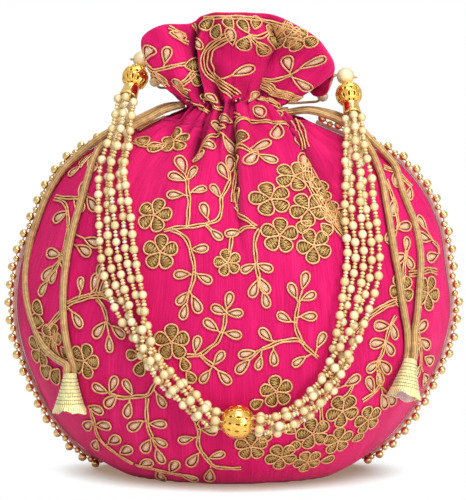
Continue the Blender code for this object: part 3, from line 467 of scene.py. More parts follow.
def weave(name, dark, mid, bright, roughness, bump, painted_shade=None, **more):
    """A woven finish whose colour runs from dark to bright with its slubs, and, given a shade
    colour, to that painted shade in its folds and beside the cords on it."""
    made, tree, shader = finish(name, mid, roughness, **more)
    cut = put(tree, "ShaderNodeUVMap", uv_map="cut").outputs[0]
    slub = put(tree, "ShaderNodeGroup", {}, node_tree=SLUB)
    tree.links.new(cut, slub.inputs["Cut"])
    colour = ramp(tree, slub.outputs["Shade"], (0.3, dark), (0.5, mid), (0.72, bright))
    relief = put(tree, "ShaderNodeBump", {"Strength": bump, "Distance": 0.0003,
                                          "Height": slub.outputs["Height"]}).outputs[0]
    # Painted shade: in the cloth's own folds and next to the cords on it, the colour runs to the shade
    # colour.
    if painted_shade:
        folds = shaded(tree, FOLD_REACH, 0.3, 0.88, only_local=True)
        edges = shaded(tree, CORD_REACH, 0.2, 0.95)
        sunk = sums(tree, "MAXIMUM", folds, sums(tree, "MULTIPLY", edges, 0.75))
        mixed = put(tree, "ShaderNodeMix", {"Factor": sunk, "A": colour, "B": (*painted_shade, 1)},
                    data_type="RGBA")
        colour = mixed.outputs["Result"]
    tree.links.new(colour, shader.inputs["Base Color"])
    tree.links.new(relief, shader.inputs["Normal"])
    return made


FOLD_REACH, CORD_REACH = 0.02, 0.0014
# Raw silk, with painted shade in its folds and beside the embroidery.
SILK = weave("raw silk", (0.50, 0.003, 0.085), (0.74, 0.007, 0.135), (0.93, 0.025, 0.21), 0.5, 0.8,
             painted_shade=(0.15, 0.0, 0.02), **{"Sheen Weight": 0.25, "Sheen Roughness": 0.35, "Sheen Tint": (1.0, 0.35, 0.6, 1),
                "Specular IOR Level": 0.22, "Specular Tint": (1.0, 0.5, 0.75, 1)})


def silk_panel(name, side):
    """One panel as a fine sheet, given its thickness on the inside."""
    v = np.concatenate([np.linspace(0, 1, BODY_ROWS), 1 + np.linspace(0, 1, FRILL_ROWS + 1)[1:]])
    share, v = np.meshgrid(np.linspace(-1, 1, PANEL_COLUMNS + 1), v)
    points = cloth(side, share * neck_slit(v), v)
    made = add_mesh(name, points.reshape(-1, 3),
                    grid_faces(*share.shape, flip=side == BACK), SILK)
    add_uv(made, np.stack([share * 130, v * 290 - np.maximum(v - 1, 0) * 240], -1).reshape(-1, 2))
    solid = made.modifiers.new("thickness", "SOLIDIFY")
    solid.thickness, solid.offset = CLOTH_THICKNESS * MM, -1
    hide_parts(f"{name.split('_')[1]}_panel")
    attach(made, "bag")
    return made


silk_front = silk_panel("silk_front", FRONT)
silk_back = silk_panel("silk_back", BACK)

# Lining
# A plain bag of beige satin, sewn to the silk at the seams and turned over at the frill's rim.
# At the neck it lies inside the two loops of cord that run in the casing, and it is plain
# enough to lie within the silk's deepest folds.
LINING_COLUMNS, LINING_ROWS = 96, 110
LINING_INSET, CASING_INSET = 1.5, 6.0
LINING_SWEEP = np.linspace(-0.13, 0.13, 11)
SATIN = weave("lining satin", (0.36, 0.22, 0.1), (0.5, 0.33, 0.17), (0.64, 0.46, 0.26), 0.5, 0.3)


def lining_layer(side, extra):
    v = np.linspace(0, 1.97, LINING_ROWS)
    share, v = np.meshgrid(np.linspace(-1, 1, LINING_COLUMNS + 1), v)
    s = share * neck_slit(v) * 0.995
    out = cloth_ways(side, s, v, folds=False)[0]
    neck = ease(0.93, 0.99, v) * ease(1.25, 1.03, v)
    inset = LINING_INSET + extra + CASING_INSET * neck + (1 - neck) * 1.2 * ease(0.8, 0.9, v)
    inset = inset * ease(1.985, 1.9, v) + 0.4
    p = cloth(side, s, v, folds=False) - out * inset[..., None]
    deepest = np.min([fold_depth(side, s + aside, v)[0] for aside in LINING_SWEEP], axis=0)
    p += folds_out(s, v, cloth(side, s, v, folds=False)) * deepest[..., None]
    return p, share, v


def lining_bag():
    points, faces, flat = [], [], []
    for side in (FRONT, BACK):
        for extra, turned_round in ((0.0, side == BACK), (0.7, side == FRONT)):
            p, share, v = lining_layer(side, extra)
            start = len(points)
            points += list(p.reshape(-1, 3))
            flat += list(np.stack([share * 120, v * 270], -1).reshape(-1, 2))
            faces += [tuple(start + i for i in face)
                      for face in grid_faces(*share.shape, flip=turned_round)]
    made = add_mesh("lining_bag", points, faces, SATIN)
    add_uv(made, flat)
    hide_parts("lining")
    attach(made, "bag")
    return made


lining_bag()

# Embroidery
# Gold cord is couched on the silk by hand: twin cords make the stems, a loop edges each leaf
# and petal, leaves are filled with a pad of pale satin stitch and petals with coiled thread.
# Places are thousandths of s and v. A stem is its number of cords and the places it passes,
# a leaf, petal or stalk runs from its first place to its second, and a flower is a place,
# its radius in millimetres and its turn in degrees.
STEMS = [
    (2, [(20, 900), (15, 865), (0, 835), (-5, 805)]),
    (2, [(-825, 870), (-650, 880), (-580, 900), (-525, 910)]),
    (3, [(-940, 895), (-960, 915), (-960, 940), (-965, 955)]),
    (2, [(-290, 890), (-265, 915), (-195, 935), (-110, 945)]),
    (2, [(40, 945), (100, 960), (165, 965), (335, 955), (435, 945), (505, 920), (520, 895)]),
    (2, [(45, 925), (95, 910), (150, 895), (185, 890)]),
    (2, [(-240, 740), (-240, 770), (-245, 795), (-285, 835)]),
    (2, [(-150, 750), (-85, 765), (-70, 790), (-70, 810), (-45, 830), (-20, 850)]),
    (2, [(-360, 725), (-300, 735), (-240, 740), (-195, 745), (-150, 750)]),
    (2, [(-150, 750), (-120, 740)]),
    (2, [(120, 745), (80, 760), (45, 775), (10, 795)]),
    (2, [(120, 745), (70, 745), (35, 740)]),
    (2, [(135, 740), (110, 725), (100, 710), (100, 680), (110, 650)]),
    (4, [(430, 870), (405, 830), (430, 790), (465, 755), (510, 725), (560, 695)]),
    (3, [(485, 880), (480, 840), (505, 800), (535, 760), (570, 730)]),
    (2, [(-15, 730), (-30, 695)]),
    (2, [(-320, 730), (-275, 725), (-240, 715), (-210, 680), (-205, 655), (-225, 625)]),
    (2, [(-205, 510), (-145, 515), (-100, 530), (-75, 540), (-55, 565), (-50, 590)]),
    (2, [(-150, 515), (-120, 505), (-85, 495)]),
    (2, [(380, 495), (335, 515), (300, 535), (275, 565), (295, 600)]),
    (2, [(320, 525), (280, 535), (205, 535), (130, 525)]),
    (3, [(760, 535), (710, 540), (660, 540), (605, 535), (550, 520)]),
    (2, [(745, 510), (710, 495), (670, 460), (640, 440), (660, 395)]),
    (2, [(835, 455), (840, 420), (850, 380)]),
    (3, [(820, 570), (875, 555), (915, 545), (950, 525)]),
    (2, [(970, 550), (970, 565), (955, 585)]),
    (3, [(930, 765), (960, 735), (970, 695)]),
    (2, [(890, 745), (870, 715), (850, 685), (835, 655)]),
    (2, [(835, 610), (810, 590), (790, 560)]),
    (2, [(375, 425), (385, 395), (395, 365)]),
    (2, [(525, 425), (505, 410), (470, 405)]),
    (2, [(575, 385), (625, 390), (665, 405)]),
    (2, [(-330, 460), (-350, 445), (-380, 425), (-440, 415), (-495, 405), (-550, 405)]),
    (2, [(-380, 420), (-385, 395), (-385, 365), (-370, 340)]),
    (2, [(-655, 355), (-650, 325), (-650, 290), (-615, 275), (-560, 265), (-495, 255)]),
    (2, [(-165, 385), (-155, 370), (-160, 340), (-135, 320), (-90, 295), (-20, 290), (40, 290)]),
    (3, [(-765, 530), (-735, 545), (-680, 565), (-630, 575), (-545, 575)]),
    (2, [(-650, 565), (-610, 555), (-580, 535)]),
    (3, [(-765, 525), (-800, 495), (-840, 460)]),
    (3, [(-795, 470), (-805, 440), (-780, 415)]),
    (2, [(-970, 680), (-925, 695), (-875, 710), (-820, 730)]),
    (2, [(-970, 675), (-925, 685), (-885, 675), (-860, 650), (-855, 625), (-850, 595)]),
    (2, [(-965, 805), (-965, 780), (-950, 755)]),
    (2, [(-480, 255), (-410, 260), (-325, 260), (-250, 260)]),
    (2, [(-755, 1820), (-740, 1715), (-705, 1585), (-600, 1500), (-515, 1480)]),
    (2, [(-755, 1715), (-725, 1520), (-735, 1355)]),
    (2, [(-525, 1960), (-500, 1900), (-475, 1845)]),
    (2, [(-525, 1875), (-505, 1790), (-480, 1735)]),
    (3, [(-565, 1160), (-620, 1250), (-540, 1295), (-485, 1375)]),
    (2, [(-675, 1330), (-670, 1210), (-625, 1080)]),
    (2, [(-410, 1985), (-380, 1840), (-350, 1680), (-340, 1540)]),
    (2, [(-300, 1965), (-175, 1955), (-50, 1950), (60, 1950), (170, 1935), (270, 1930)]),
    (2, [(270, 1930), (355, 1930), (440, 1925), (525, 1910)]),
    (4, [(-40, 1760), (-115, 1705), (-185, 1600), (-210, 1465), (-195, 1345), (-130, 1235),
         (-25, 1090)]),
    (2, [(55, 1760), (110, 1740), (180, 1775), (255, 1835)]),
    (2, [(55, 1760), (95, 1655), (165, 1575)]),
    (4, [(350, 1915), (345, 1785), (325, 1650), (305, 1520), (265, 1375)]),
    (3, [(400, 1995), (380, 1850), (355, 1700), (330, 1550)]),
    (2, [(425, 1310), (515, 1325), (595, 1395), (645, 1485)]),
    (5, [(370, 1330), (470, 1260), (630, 1195), (865, 1155)]),
    (3, [(425, 1560), (390, 1465), (360, 1350)]),
    (2, [(10, 1050), (65, 990), (115, 970)]),
    (3, [(410, 1080), (645, 1000), (860, 985)]),
    (2, [(-420, 1070), (-275, 1000), (-155, 990)]),
    (2, [(-670, 1105), (-535, 1005), (-355, 980)]),
    (3, [(685, 960), (645, 925), (610, 895)]),
]
LEAVES = [
    (-65, 950, -225, 960), (-5, 965, -175, 975), (-265, 920, -160, 915), (-75, 935, 5, 910),
    (-305, 885, -240, 905), (265, 965, 255, 1000), (350, 960, 645, 990), (340, 950, 300, 920),
    (475, 935, 430, 905), (155, 900, 255, 915), (190, 885, 265, 870), (180, 895, 125, 870),
    (-330, 850, -405, 875), (-280, 840, -270, 870), (-305, 835, -400, 835), (-230, 810, -170, 825),
    (-285, 800, -365, 795), (-35, 855, -95, 880), (-20, 870, -20, 900), (-80, 815, -135, 835),
    (-145, 765, -170, 790), (-120, 740, -70, 725), (20, 800, 50, 830), (30, 740, -45, 735),
    (90, 675, 30, 665), (110, 675, 175, 665), (100, 645, 70, 620), (115, 650, 150, 625),
    (130, 625, 145, 600), (390, 850, 430, 880), (495, 880, 425, 850), (-210, 700, -140, 705),
    (-230, 655, -300, 650), (-185, 655, -125, 645), (-240, 620, -280, 600), (-210, 615, -175, 590),
    (-240, 600, -250, 575), (-45, 600, -30, 625), (-50, 590, -115, 600), (-40, 590, 25, 590),
    (-85, 560, -145, 575), (-40, 555, 25, 550), (-170, 520, -165, 545), (-80, 500, -45, 520),
    (-105, 485, -140, 465), (-60, 485, -15, 465), (320, 625, 345, 650), (285, 610, 260, 635),
    (315, 605, 375, 610), (250, 570, 195, 585), (305, 575, 370, 570), (165, 540, 115, 560),
    (95, 520, 30, 515), (70, 505, 20, 485), (125, 510, 110, 490), (180, 520, 185, 495),
    (320, 500, 270, 490), (380, 515, 410, 535), (710, 500, 645, 515), (685, 475, 620, 485),
    (685, 475, 715, 445), (650, 445, 595, 440), (655, 445, 695, 415), (670, 375, 705, 340),
    (690, 375, 755, 330), (725, 500, 735, 470), (645, 430, 655, 400), (825, 455, 880, 455),
    (835, 440, 890, 400), (850, 400, 940, 345), (840, 425, 785, 430), (870, 360, 940, 295),
    (850, 380, 830, 360), (945, 615, 935, 645), (950, 590, 905, 620), (970, 550, 910, 570),
    (960, 740, 910, 720), (965, 695, 935, 685), (870, 705, 830, 685), (825, 660, 890, 645),
    (815, 655, 760, 650), (835, 610, 855, 630), (830, 605, 770, 610), (825, 605, 845, 575),
    (435, 445, 475, 460), (470, 460, 515, 470), (495, 430, 555, 435), (620, 395, 595, 425),
    (-565, 405, -625, 405), (-545, 410, -520, 440), (-520, 405, -575, 375), (-450, 420, -480, 440),
    (-460, 400, -480, 370), (-335, 430, -305, 410), (-410, 370, -475, 345), (-370, 370, -305, 375),
    (-380, 335, -425, 300), (-365, 340, -310, 330), (-355, 315, -340, 285), (-650, 330, -730, 285),
    (-640, 320, -570, 335), (-605, 285, -525, 320), (-655, 290, -720, 225), (-555, 270, -475, 305),
    (-660, 355, -595, 360), (-165, 385, -165, 415), (-185, 355, -245, 345), (-165, 320, -210, 290),
    (-105, 315, -45, 325), (-105, 290, -115, 245), (-140, 375, -80, 370), (-730, 565, -745, 585),
    (-680, 575, -680, 605), (-645, 580, -620, 605), (-665, 600, -670, 625), (-590, 530, -625, 500),
    (-550, 530, -495, 520), (-560, 510, -550, 485), (-735, 520, -690, 505), (-895, 675, -935, 645),
    (-860, 600, -920, 585), (-875, 570, -895, 540), (-855, 570, -860, 545), (-875, 540, -890, 510),
    (-855, 715, -870, 745), (-880, 705, -815, 700), (-815, 725, -750, 715), (-795, 635, -730, 635),
    (-765, 655, -695, 660), (-865, 600, -815, 590), (-965, 785, -965, 760), (-955, 755, -970, 730),
    (-955, 780, -860, 775), (-465, 255, -385, 285), (-370, 260, -360, 220), (-310, 260, -260, 300),
    (-245, 260, -175, 250), (-740, 1855, -645, 1830), (-620, 1580, -575, 1720),
    (-720, 1590, -745, 1420), (-530, 1880, -480, 1815), (-595, 1205, -645, 1355),
    (-375, 1750, -215, 1625), (-55, 1670, -60, 1825), (-45, 1330, 65, 1410), (610, 1505, 535, 1640),
    (665, 1600, 725, 1830), (670, 1440, 810, 1335), (155, 1030, 105, 1135), (375, 1040, 295, 1125),
    (670, 995, 545, 1100), (-220, 1010, -230, 1110), (-450, 1040, -470, 1120),
]
PETALS = [
    (-820, 880, -700, 885), (-570, 895, -650, 875), (60, 910, 115, 935), (50, 905, 45, 880),
    (380, 740, 320, 730), (440, 730, 485, 710), (475, 835, 550, 855), (-225, 505, -205, 485),
    (-200, 480, -175, 465), (-420, 495, -470, 490), (-400, 485, -420, 460), (125, 430, 80, 420),
    (275, 360, 230, 375), (570, 300, 620, 300), (255, 325, 300, 335), (435, 275, 495, 270),
    (120, 350, 160, 365), (-790, 395, -830, 360), (-825, 390, -890, 350), (-770, 445, -740, 435),
    (-870, 480, -910, 485), (-860, 465, -915, 450), (-520, 1460, -450, 1460),
    (-510, 1350, -485, 1240), (-200, 1945, -285, 1850), (-130, 1865, -165, 1745),
    (-40, 1830, -80, 1945), (60, 1795, 40, 1920), (125, 1835, 180, 1950), (40, 1730, -10, 1620),
    (90, 1680, 135, 1560), (150, 1720, 265, 1680), (195, 1765, 275, 1860), (345, 1830, 265, 1875),
    (460, 1860, 540, 1970), (540, 1895, 620, 1900), (475, 1810, 550, 1775), (370, 1690, 425, 1605),
    (395, 1540, 345, 1430),
]
STALKS = [
    (-110, 945, -75, 935), (-285, 835, -330, 850), (-285, 835, -280, 840), (-285, 835, -305, 835),
    (-250, 805, -230, 810), (-245, 800, -285, 800), (-20, 850, -35, 855), (-20, 850, -20, 870),
    (-70, 810, -80, 815), (-130, 755, -145, 765), (10, 795, 20, 800), (40, 740, 30, 740),
    (100, 680, 90, 675), (110, 655, 100, 645), (110, 655, 115, 650), (110, 655, 130, 625),
    (-230, 700, -210, 700), (-205, 655, -230, 655), (-205, 660, -185, 655), (-225, 625, -240, 620),
    (-225, 625, -210, 615), (-225, 625, -240, 600), (-50, 590, -45, 600), (-65, 555, -85, 560),
    (-65, 555, -40, 555), (-170, 515, -170, 520), (-90, 495, -80, 500), (-90, 495, -105, 485),
    (-90, 495, -60, 485), (295, 600, 320, 625), (295, 600, 285, 610), (295, 600, 315, 605),
    (275, 565, 250, 570), (275, 575, 305, 575), (190, 535, 165, 540), (130, 525, 95, 520),
    (130, 525, 70, 505), (130, 525, 125, 510), (175, 530, 180, 520), (355, 505, 320, 500),
    (365, 500, 380, 515), (720, 500, 710, 500), (660, 395, 670, 375), (660, 395, 690, 375),
    (850, 380, 870, 360), (955, 585, 945, 615), (970, 550, 970, 550), (835, 660, 815, 655),
    (375, 425, 435, 445), (375, 425, 470, 460), (375, 425, 495, 430), (-545, 405, -565, 405),
    (-445, 415, -450, 420), (-455, 415, -460, 400), (-350, 440, -335, 430), (-385, 375, -410, 370),
    (-385, 370, -370, 370), (-370, 340, -380, 335), (-370, 340, -365, 340), (-370, 340, -355, 315),
    (-620, 275, -605, 285), (-155, 360, -185, 355), (-150, 330, -165, 320), (-120, 310, -105, 315),
    (-100, 300, -105, 290), (-160, 375, -140, 375), (-725, 550, -730, 565), (-685, 565, -680, 575),
    (-650, 570, -645, 580), (-660, 570, -665, 600), (-580, 535, -590, 530), (-580, 535, -550, 530),
    (-580, 535, -560, 510), (-765, 525, -735, 520), (-850, 600, -875, 570), (-850, 600, -855, 570),
    (-850, 600, -875, 540), (-855, 630, -795, 635), (-860, 650, -765, 655),
    (-755, 1820, -740, 1855), (-645, 1525, -620, 1580), (-150, 1260, -45, 1330),
    (635, 1470, 610, 1505), (640, 1475, 665, 1600), (640, 1475, 670, 1440),
]
FLOWERS = [
    (-520, 910, 4.8, 20), (205, 795, 5.8, 8), (225, 725, 5.8, -14), (340, 835, 5.3, 40),
    (380, 765, 5.8, 20), (395, 695, 5.8, 12), (510, 805, 5.8, -5), (535, 745, 5.3, 30),
    (-40, 680, 4.3, 15), (-420, 750, 5.8, 0), (-375, 685, 5.8, 10), (-280, 530, 5.8, 10),
    (900, 505, 5.8, 10), (780, 550, 5.3, 0), (190, 445, 5.3, 5), (485, 380, 5.8, 20),
    (620, 335, 5.3, 0), (360, 350, 5.8, 8), (225, 310, 5.3, 25), (490, 315, 5.3, -10),
    (360, 285, 4.8, 15), (80, 340, 5.3, 0), (-665, 445, 5.8, 0), (-880, 405, 5.8, 15),
    (-820, 450, 4.8, 0), (430, 1830, 4.3, 30),
]

CORD_WIDTH, CORD_STEP, CORD_SPACING = 1.0, 1.35, 1.2
LEAF_WIDTH, PETAL_WIDTH, PETALS_ROUND = 0.6, 0.88, 5
LOOP_GROWTH, FLOWER_GROWTH, NECK_CLOSES = 1.16, 1.5, 0.25
COIL_WIDTH, COIL_STROKES, COIL_SLANT = 0.66, 8, 0.12
OUTLINE_POINTS = 24


def cloth_frame(side, s, v):
    """At each place: the ways out, across and up along the cloth, and a matrix from
    millimetres across and up to steps of s and v."""
    out, by_s, by_v = cloth_ways(side, s, v, folds=False)
    right = unit(by_s)
    up = np.cross(out, right) * -side
    grow = np.stack([by_s, by_v], -1)
    square = np.swapaxes(grow, -1, -2) @ grow
    to_places = np.linalg.solve(square, np.swapaxes(grow, -1, -2) @ np.stack([right, up], -1))
    return out, right, up, to_places


def loops(side, starts, ends, width, flowers=()):
    """Teardrops on the cloth, as a middle place, the way along in millimetres right and up,
    a length, a width and the matrix to places."""
    found = []
    a, b = np.array(starts, float), np.array(ends, float)
    if len(a):
        middle = (a + b) / 2
        span = cloth(side, *b.T, folds=False) - cloth(side, *a.T, folds=False)
        out, right, up, turn = cloth_frame(side, middle[:, 0], middle[:, 1])
        way = np.stack([(span * right).sum(-1), (span * up).sum(-1)], -1)
        length = LOOP_GROWTH * np.clip(np.linalg.norm(way, axis=-1), 5.5, 8.6)
        length *= 1 - NECK_CLOSES * ease(0.91, 0.97, middle[:, 1]) * ease(1.16, 1.06, middle[:, 1])
        found += [(middle[k], unit(way[k]), length[k], width * length[k], turn[k])
                  for k in range(len(a))]
    for s, v, radius, turned in flowers:
        radius = radius * FLOWER_GROWTH
        turn = cloth_frame(side, np.array(s), np.array(v))[3]
        for k in range(PETALS_ROUND):
            angle = math.radians(turned + 90 + k * 360 / PETALS_ROUND)
            way = np.array([math.cos(angle), math.sin(angle)])
            centre = np.array([s, v]) + turn @ (way * radius * 0.53)
            found.append((centre, way, radius * 0.96, PETAL_WIDTH * radius, turn))
    return found


def teardrop(points, grow=1.0):
    """Half-lengths along and half-widths across round a loop with its point at -1."""
    turn = np.linspace(0, 2 * math.pi, points, endpoint=False)
    along = -np.cos(turn)
    across = np.sin(turn) * ((along + 1.15) / 2.15) ** 0.55 * 1.12
    return np.stack([along, across], -1) * grow


def lay_loop(side, loop, outline):
    """The cloth's places for an outline round one teardrop."""
    middle, way, length, width, turn = loop
    across = np.array([-way[1], way[0]])
    flat = outline[:, :1] * way * length / 2 + outline[:, 1:] * across * width / 2
    places = middle + flat @ turn.T
    return np.clip(places[:, 0], -0.985, 0.985), np.clip(places[:, 1], 0.004, 1.99), flat


def lay_coil(side, loop):
    """The cloth's places for a thread that runs to and fro across one petal."""
    along = np.linspace(0.72, -0.62, COIL_STROKES * 3)
    half = np.sin(np.arccos(-along)) * ((along + 1.15) / 2.15) ** 0.55
    swing = np.array([-0.85, 0, 0.85, 0.85, 0, -0.85])[np.arange(len(along)) % 6]
    outline = np.stack([along + COIL_SLANT * swing, half * 0.8 * swing], -1)
    return lay_loop(side, loop, outline)[:2]


def lay_stem(side, cords, places):
    """Lines of points for the parallel cords of one stem."""
    line = smooth_line(np.array(places, float) / 1000)
    run = run_of(cloth(side, line[:, 0], line[:, 1]))
    count = max(3, round(run[-1] / CORD_STEP))
    s, v = (np.interp(np.linspace(0, run[-1], count + 1), run, line[:, k]) for k in (0, 1))
    out, right, up, turn = cloth_frame(side, s, v)
    p = cloth(side, s, v, folds=False)
    ahead = unit(np.gradient(p, axis=0))
    across = np.stack([-(ahead * up).sum(-1), (ahead * right).sum(-1)], -1)
    lines = []
    for k in range(cords):
        wave = 0.16 * np.sin(np.arange(count + 1) * 0.9 + 2.1 * k + 40 * places[0][0])
        off = (k - (cords - 1) / 2) * CORD_SPACING + wave
        moved = np.stack([s, v], -1) + (turn @ (across * off[:, None])[..., None])[..., 0]
        lines.append((np.clip(moved[:, 0], -0.985, 0.985), np.clip(moved[:, 1], 0.004, 1.99)))
    return lines


def couched_cord_tree():
    """Sweeps a round cord along lines, and notes the length along it and the way round it."""
    tree = bpy.data.node_groups.new("couched cord", "GeometryNodeTree")
    face = tree.interface
    face.new_socket("Lines", in_out="INPUT", socket_type="NodeSocketGeometry")
    face.new_socket("Radius", in_out="INPUT", socket_type="NodeSocketFloat")
    face.new_socket("Sides", in_out="INPUT", socket_type="NodeSocketInt")
    face.new_socket("Finish", in_out="INPUT", socket_type="NodeSocketMaterial")
    face.new_socket("Cord", in_out="OUTPUT", socket_type="NodeSocketGeometry")
    given = put(tree, "NodeGroupInput").outputs
    lines = put(tree, "GeometryNodeMeshToCurve", {"Mesh": given["Lines"]}).outputs[0]
    length = put(tree, "GeometryNodeSplineParameter").outputs["Length"]
    lines = put(tree, "GeometryNodeStoreNamedAttribute",
                {"Geometry": lines, "Name": "along", "Value": length},
                data_type="FLOAT", domain="POINT").outputs[0]
    ring = put(tree, "GeometryNodeCurvePrimitiveCircle",
               {"Resolution": given["Sides"], "Radius": given["Radius"]}).outputs[0]
    place = put(tree, "GeometryNodeInputPosition").outputs[0]
    way = put(tree, "ShaderNodeVectorMath", {0: place}, operation="NORMALIZE").outputs[0]
    ring = put(tree, "GeometryNodeStoreNamedAttribute",
               {"Geometry": ring, "Name": "round", "Value": way},
               data_type="FLOAT_VECTOR", domain="POINT").outputs[0]
    cord = put(tree, "GeometryNodeCurveToMesh",
               {"Curve": lines, "Profile Curve": ring, "Fill Caps": True}).outputs[0]
    cord = put(tree, "GeometryNodeSetShadeSmooth", {"Geometry": cord}).outputs[0]
    cord = put(tree, "GeometryNodeRealizeInstances", {"Geometry": cord}).outputs[0]
    cord = put(tree, "GeometryNodeSetMaterial", {"Geometry": cord,
                                                 "Material": given["Finish"]}).outputs[0]
    put(tree, "NodeGroupOutput", {0: cord})
    return tree


def grown(made, tree, **inputs):
    """Runs a Geometry Nodes tree on an object and keeps the result as its plain mesh."""
    grow = made.modifiers.new("grow", "NODES")
    grow.node_group = tree
    for socket in tree.interface.items_tree:
        if socket.in_out == "INPUT" and socket.name in inputs:
            grow[socket.identifier] = inputs[socket.name]
    bpy.context.view_layer.update()
    ready = made.evaluated_get(bpy.context.evaluated_depsgraph_get())
    mesh = bpy.data.meshes.new_from_object(ready)
    made.modifiers.remove(grow)
    made.data = mesh
    return made


def twist_group():
    """The ridges of a cord of twisted threads, from the length along it and the way round."""
    group = bpy.data.node_groups.new("twisted thread", "ShaderNodeTree")
    for name, kind in (("Along", "Float"), ("Round", "Vector"), ("Turns per metre", "Float"),
                       ("Strands", "Float")):
        group.interface.new_socket(name, in_out="INPUT", socket_type=f"NodeSocket{kind}")
    group.interface.new_socket("Ridge", in_out="OUTPUT", socket_type="NodeSocketFloat")
    given = put(group, "NodeGroupInput").outputs
    way = put(group, "ShaderNodeSeparateXYZ", {0: given["Round"]}).outputs
    angle = sums(group, "ARCTAN2", way["Y"], way["X"])
    turns = sums(group, "MULTIPLY", sums(group, "MULTIPLY", given["Along"],
                                         given["Turns per metre"]), 2 * math.pi)
    phase = sums(group, "ADD", sums(group, "MULTIPLY", angle, given["Strands"]), turns)
    ridge = sums(group, "ADD", sums(group, "MULTIPLY", sums(group, "SINE", phase, 0.0), 0.5), 0.5)
    put(group, "NodeGroupOutput", {"Ridge": ridge})
    return group


TWIST = twist_group()


def thread_finish(name, dark, mid, bright, roughness, metallic, turns, strands, bump,
                  painted_shade=None, **more):
    """A cord of twisted gold thread, uneven along its length, with painted shade in its grooves and
    where closed in.
    """
    made, tree, shader = finish(name, mid, roughness, metallic, **more)
    twist = put(tree, "ShaderNodeGroup", {}, node_tree=TWIST)
    along = put(tree, "ShaderNodeAttribute", attribute_name="along").outputs["Fac"]
    way = put(tree, "ShaderNodeAttribute", attribute_name="round").outputs["Vector"]
    tree.links.new(along, twist.inputs["Along"])
    tree.links.new(way, twist.inputs["Round"])
    twist.inputs["Turns per metre"].default_value = turns
    twist.inputs["Strands"].default_value = strands
    ridge = twist.outputs["Ridge"]
    place = put(tree, "ShaderNodeTexCoord").outputs["Object"]
    patch = noise(tree, place, 420.0, 3.0, 0.6)
    # The grooves of the twist are darkened as painted shade, and the patches vary its tone.
    shade = sums(tree, "ADD", sums(tree, "MULTIPLY", ridge, 0.3), sums(tree, "MULTIPLY", patch, 0.7))
    colour = ramp(tree, shade, (0.25, dark), (0.5, mid), (0.72, bright))
    # Painted shade where the cord lies against the silk and other cords.
    if painted_shade:
        colour = put(tree, "ShaderNodeMix", {"Factor": shaded(tree, CORD_REACH, 0.3, 0.9),
                                             "A": colour, "B": (*painted_shade, 1)},
                     data_type="RGBA").outputs["Result"]
    relief = put(tree, "ShaderNodeBump", {"Strength": bump, "Distance": 0.0002,
                                          "Height": ridge}).outputs[0]
    tree.links.new(colour, shader.inputs["Base Color"])
    tree.links.new(relief, shader.inputs["Normal"])
    return made


COUCHED_CORD = couched_cord_tree()
# Couched cord, with painted shade where it lies against the silk and other cords.
ZARI = thread_finish("couched gold cord", (0.46, 0.18, 0.06), (0.86, 0.43, 0.16), (1.0, 0.67, 0.35),
                     0.35, 0.35, 1300.0, 2.0, 0.4, painted_shade=(0.14, 0.045, 0.01))


def stitched(name, dark, mid, bright, roughness, metallic, stitches, bump, coiled):
    """Satin stitch, or coiled thread, across the length of a leaf or petal."""
    made, tree, shader = finish(name, mid, roughness, metallic)
    cut = put(tree, "ShaderNodeUVMap", uv_map="cut").outputs[0]
    lines = put(tree, "ShaderNodeTexWave", {"Vector": cut, "Scale": stitches,
                                            "Distortion": 6.0 if coiled else 1.2, "Detail": 2.0,
                                            "Detail Scale": 1.5}).outputs["Fac"]
    patch = noise(tree, cut, 700.0, 3.0, 0.6)
    shade = sums(tree, "ADD", sums(tree, "MULTIPLY", lines, 0.6 if coiled else 0.3),
                 sums(tree, "MULTIPLY", patch, 0.4 if coiled else 0.7))
    colour = ramp(tree, shade, (0.25, dark), (0.5, mid), (0.75, bright))
    relief = put(tree, "ShaderNodeBump", {"Strength": bump, "Distance": 0.0003,
                                          "Height": lines}).outputs[0]
    tree.links.new(colour, shader.inputs["Base Color"])
    tree.links.new(relief, shader.inputs["Normal"])
    return made


SATIN_STITCH = stitched("pale satin stitch", (0.58, 0.30, 0.14), (0.86, 0.56, 0.33), (1.0, 0.81, 0.56), 0.32, 0.1, 260.0, 0.5, False)
COILED_THREAD = stitched("coiled olive thread", (0.18, 0.08, 0.02), (0.40, 0.21, 0.06), (0.66, 0.42, 0.13), 0.45, 0.2, 300.0, 1.0, True)
# Coiled petal thread, with painted shade where it lies against its pad and neighbours.
COIL = thread_finish("petal thread", (0.36, 0.18, 0.04), (0.70, 0.41, 0.12), (0.95, 0.68, 0.27),
                     0.35, 0.4, 1300.0, 2.0, 0.4, painted_shade=(0.13, 0.055, 0.01))


PAD_HEIGHT = 0.4


def cord_lines(name, side, lines, closed, high=CORD_WIDTH * 0.42):
    """An object of bare lines that lie on the cloth at the height of a cord's middle."""
    s, v = (np.concatenate([line[k] for line in lines]) for k in (0, 1))
    out = cloth_ways(side, s, v)[0]
    points = cloth(side, s, v) + out * high
    edges, start = [], 0
    for (places, _), shut in zip(lines, closed):
        count = len(places)
        edges += [(start + i, start + i + 1) for i in range(count - 1)]
        if shut:
            edges.append((start + count - 1, start))
        start += count
    mesh = bpy.data.meshes.new(name)
    mesh.from_pydata(points * MM, edges, [])
    made = bpy.data.objects.new(name, mesh)
    bpy.context.scene.collection.objects.link(made)
    return made


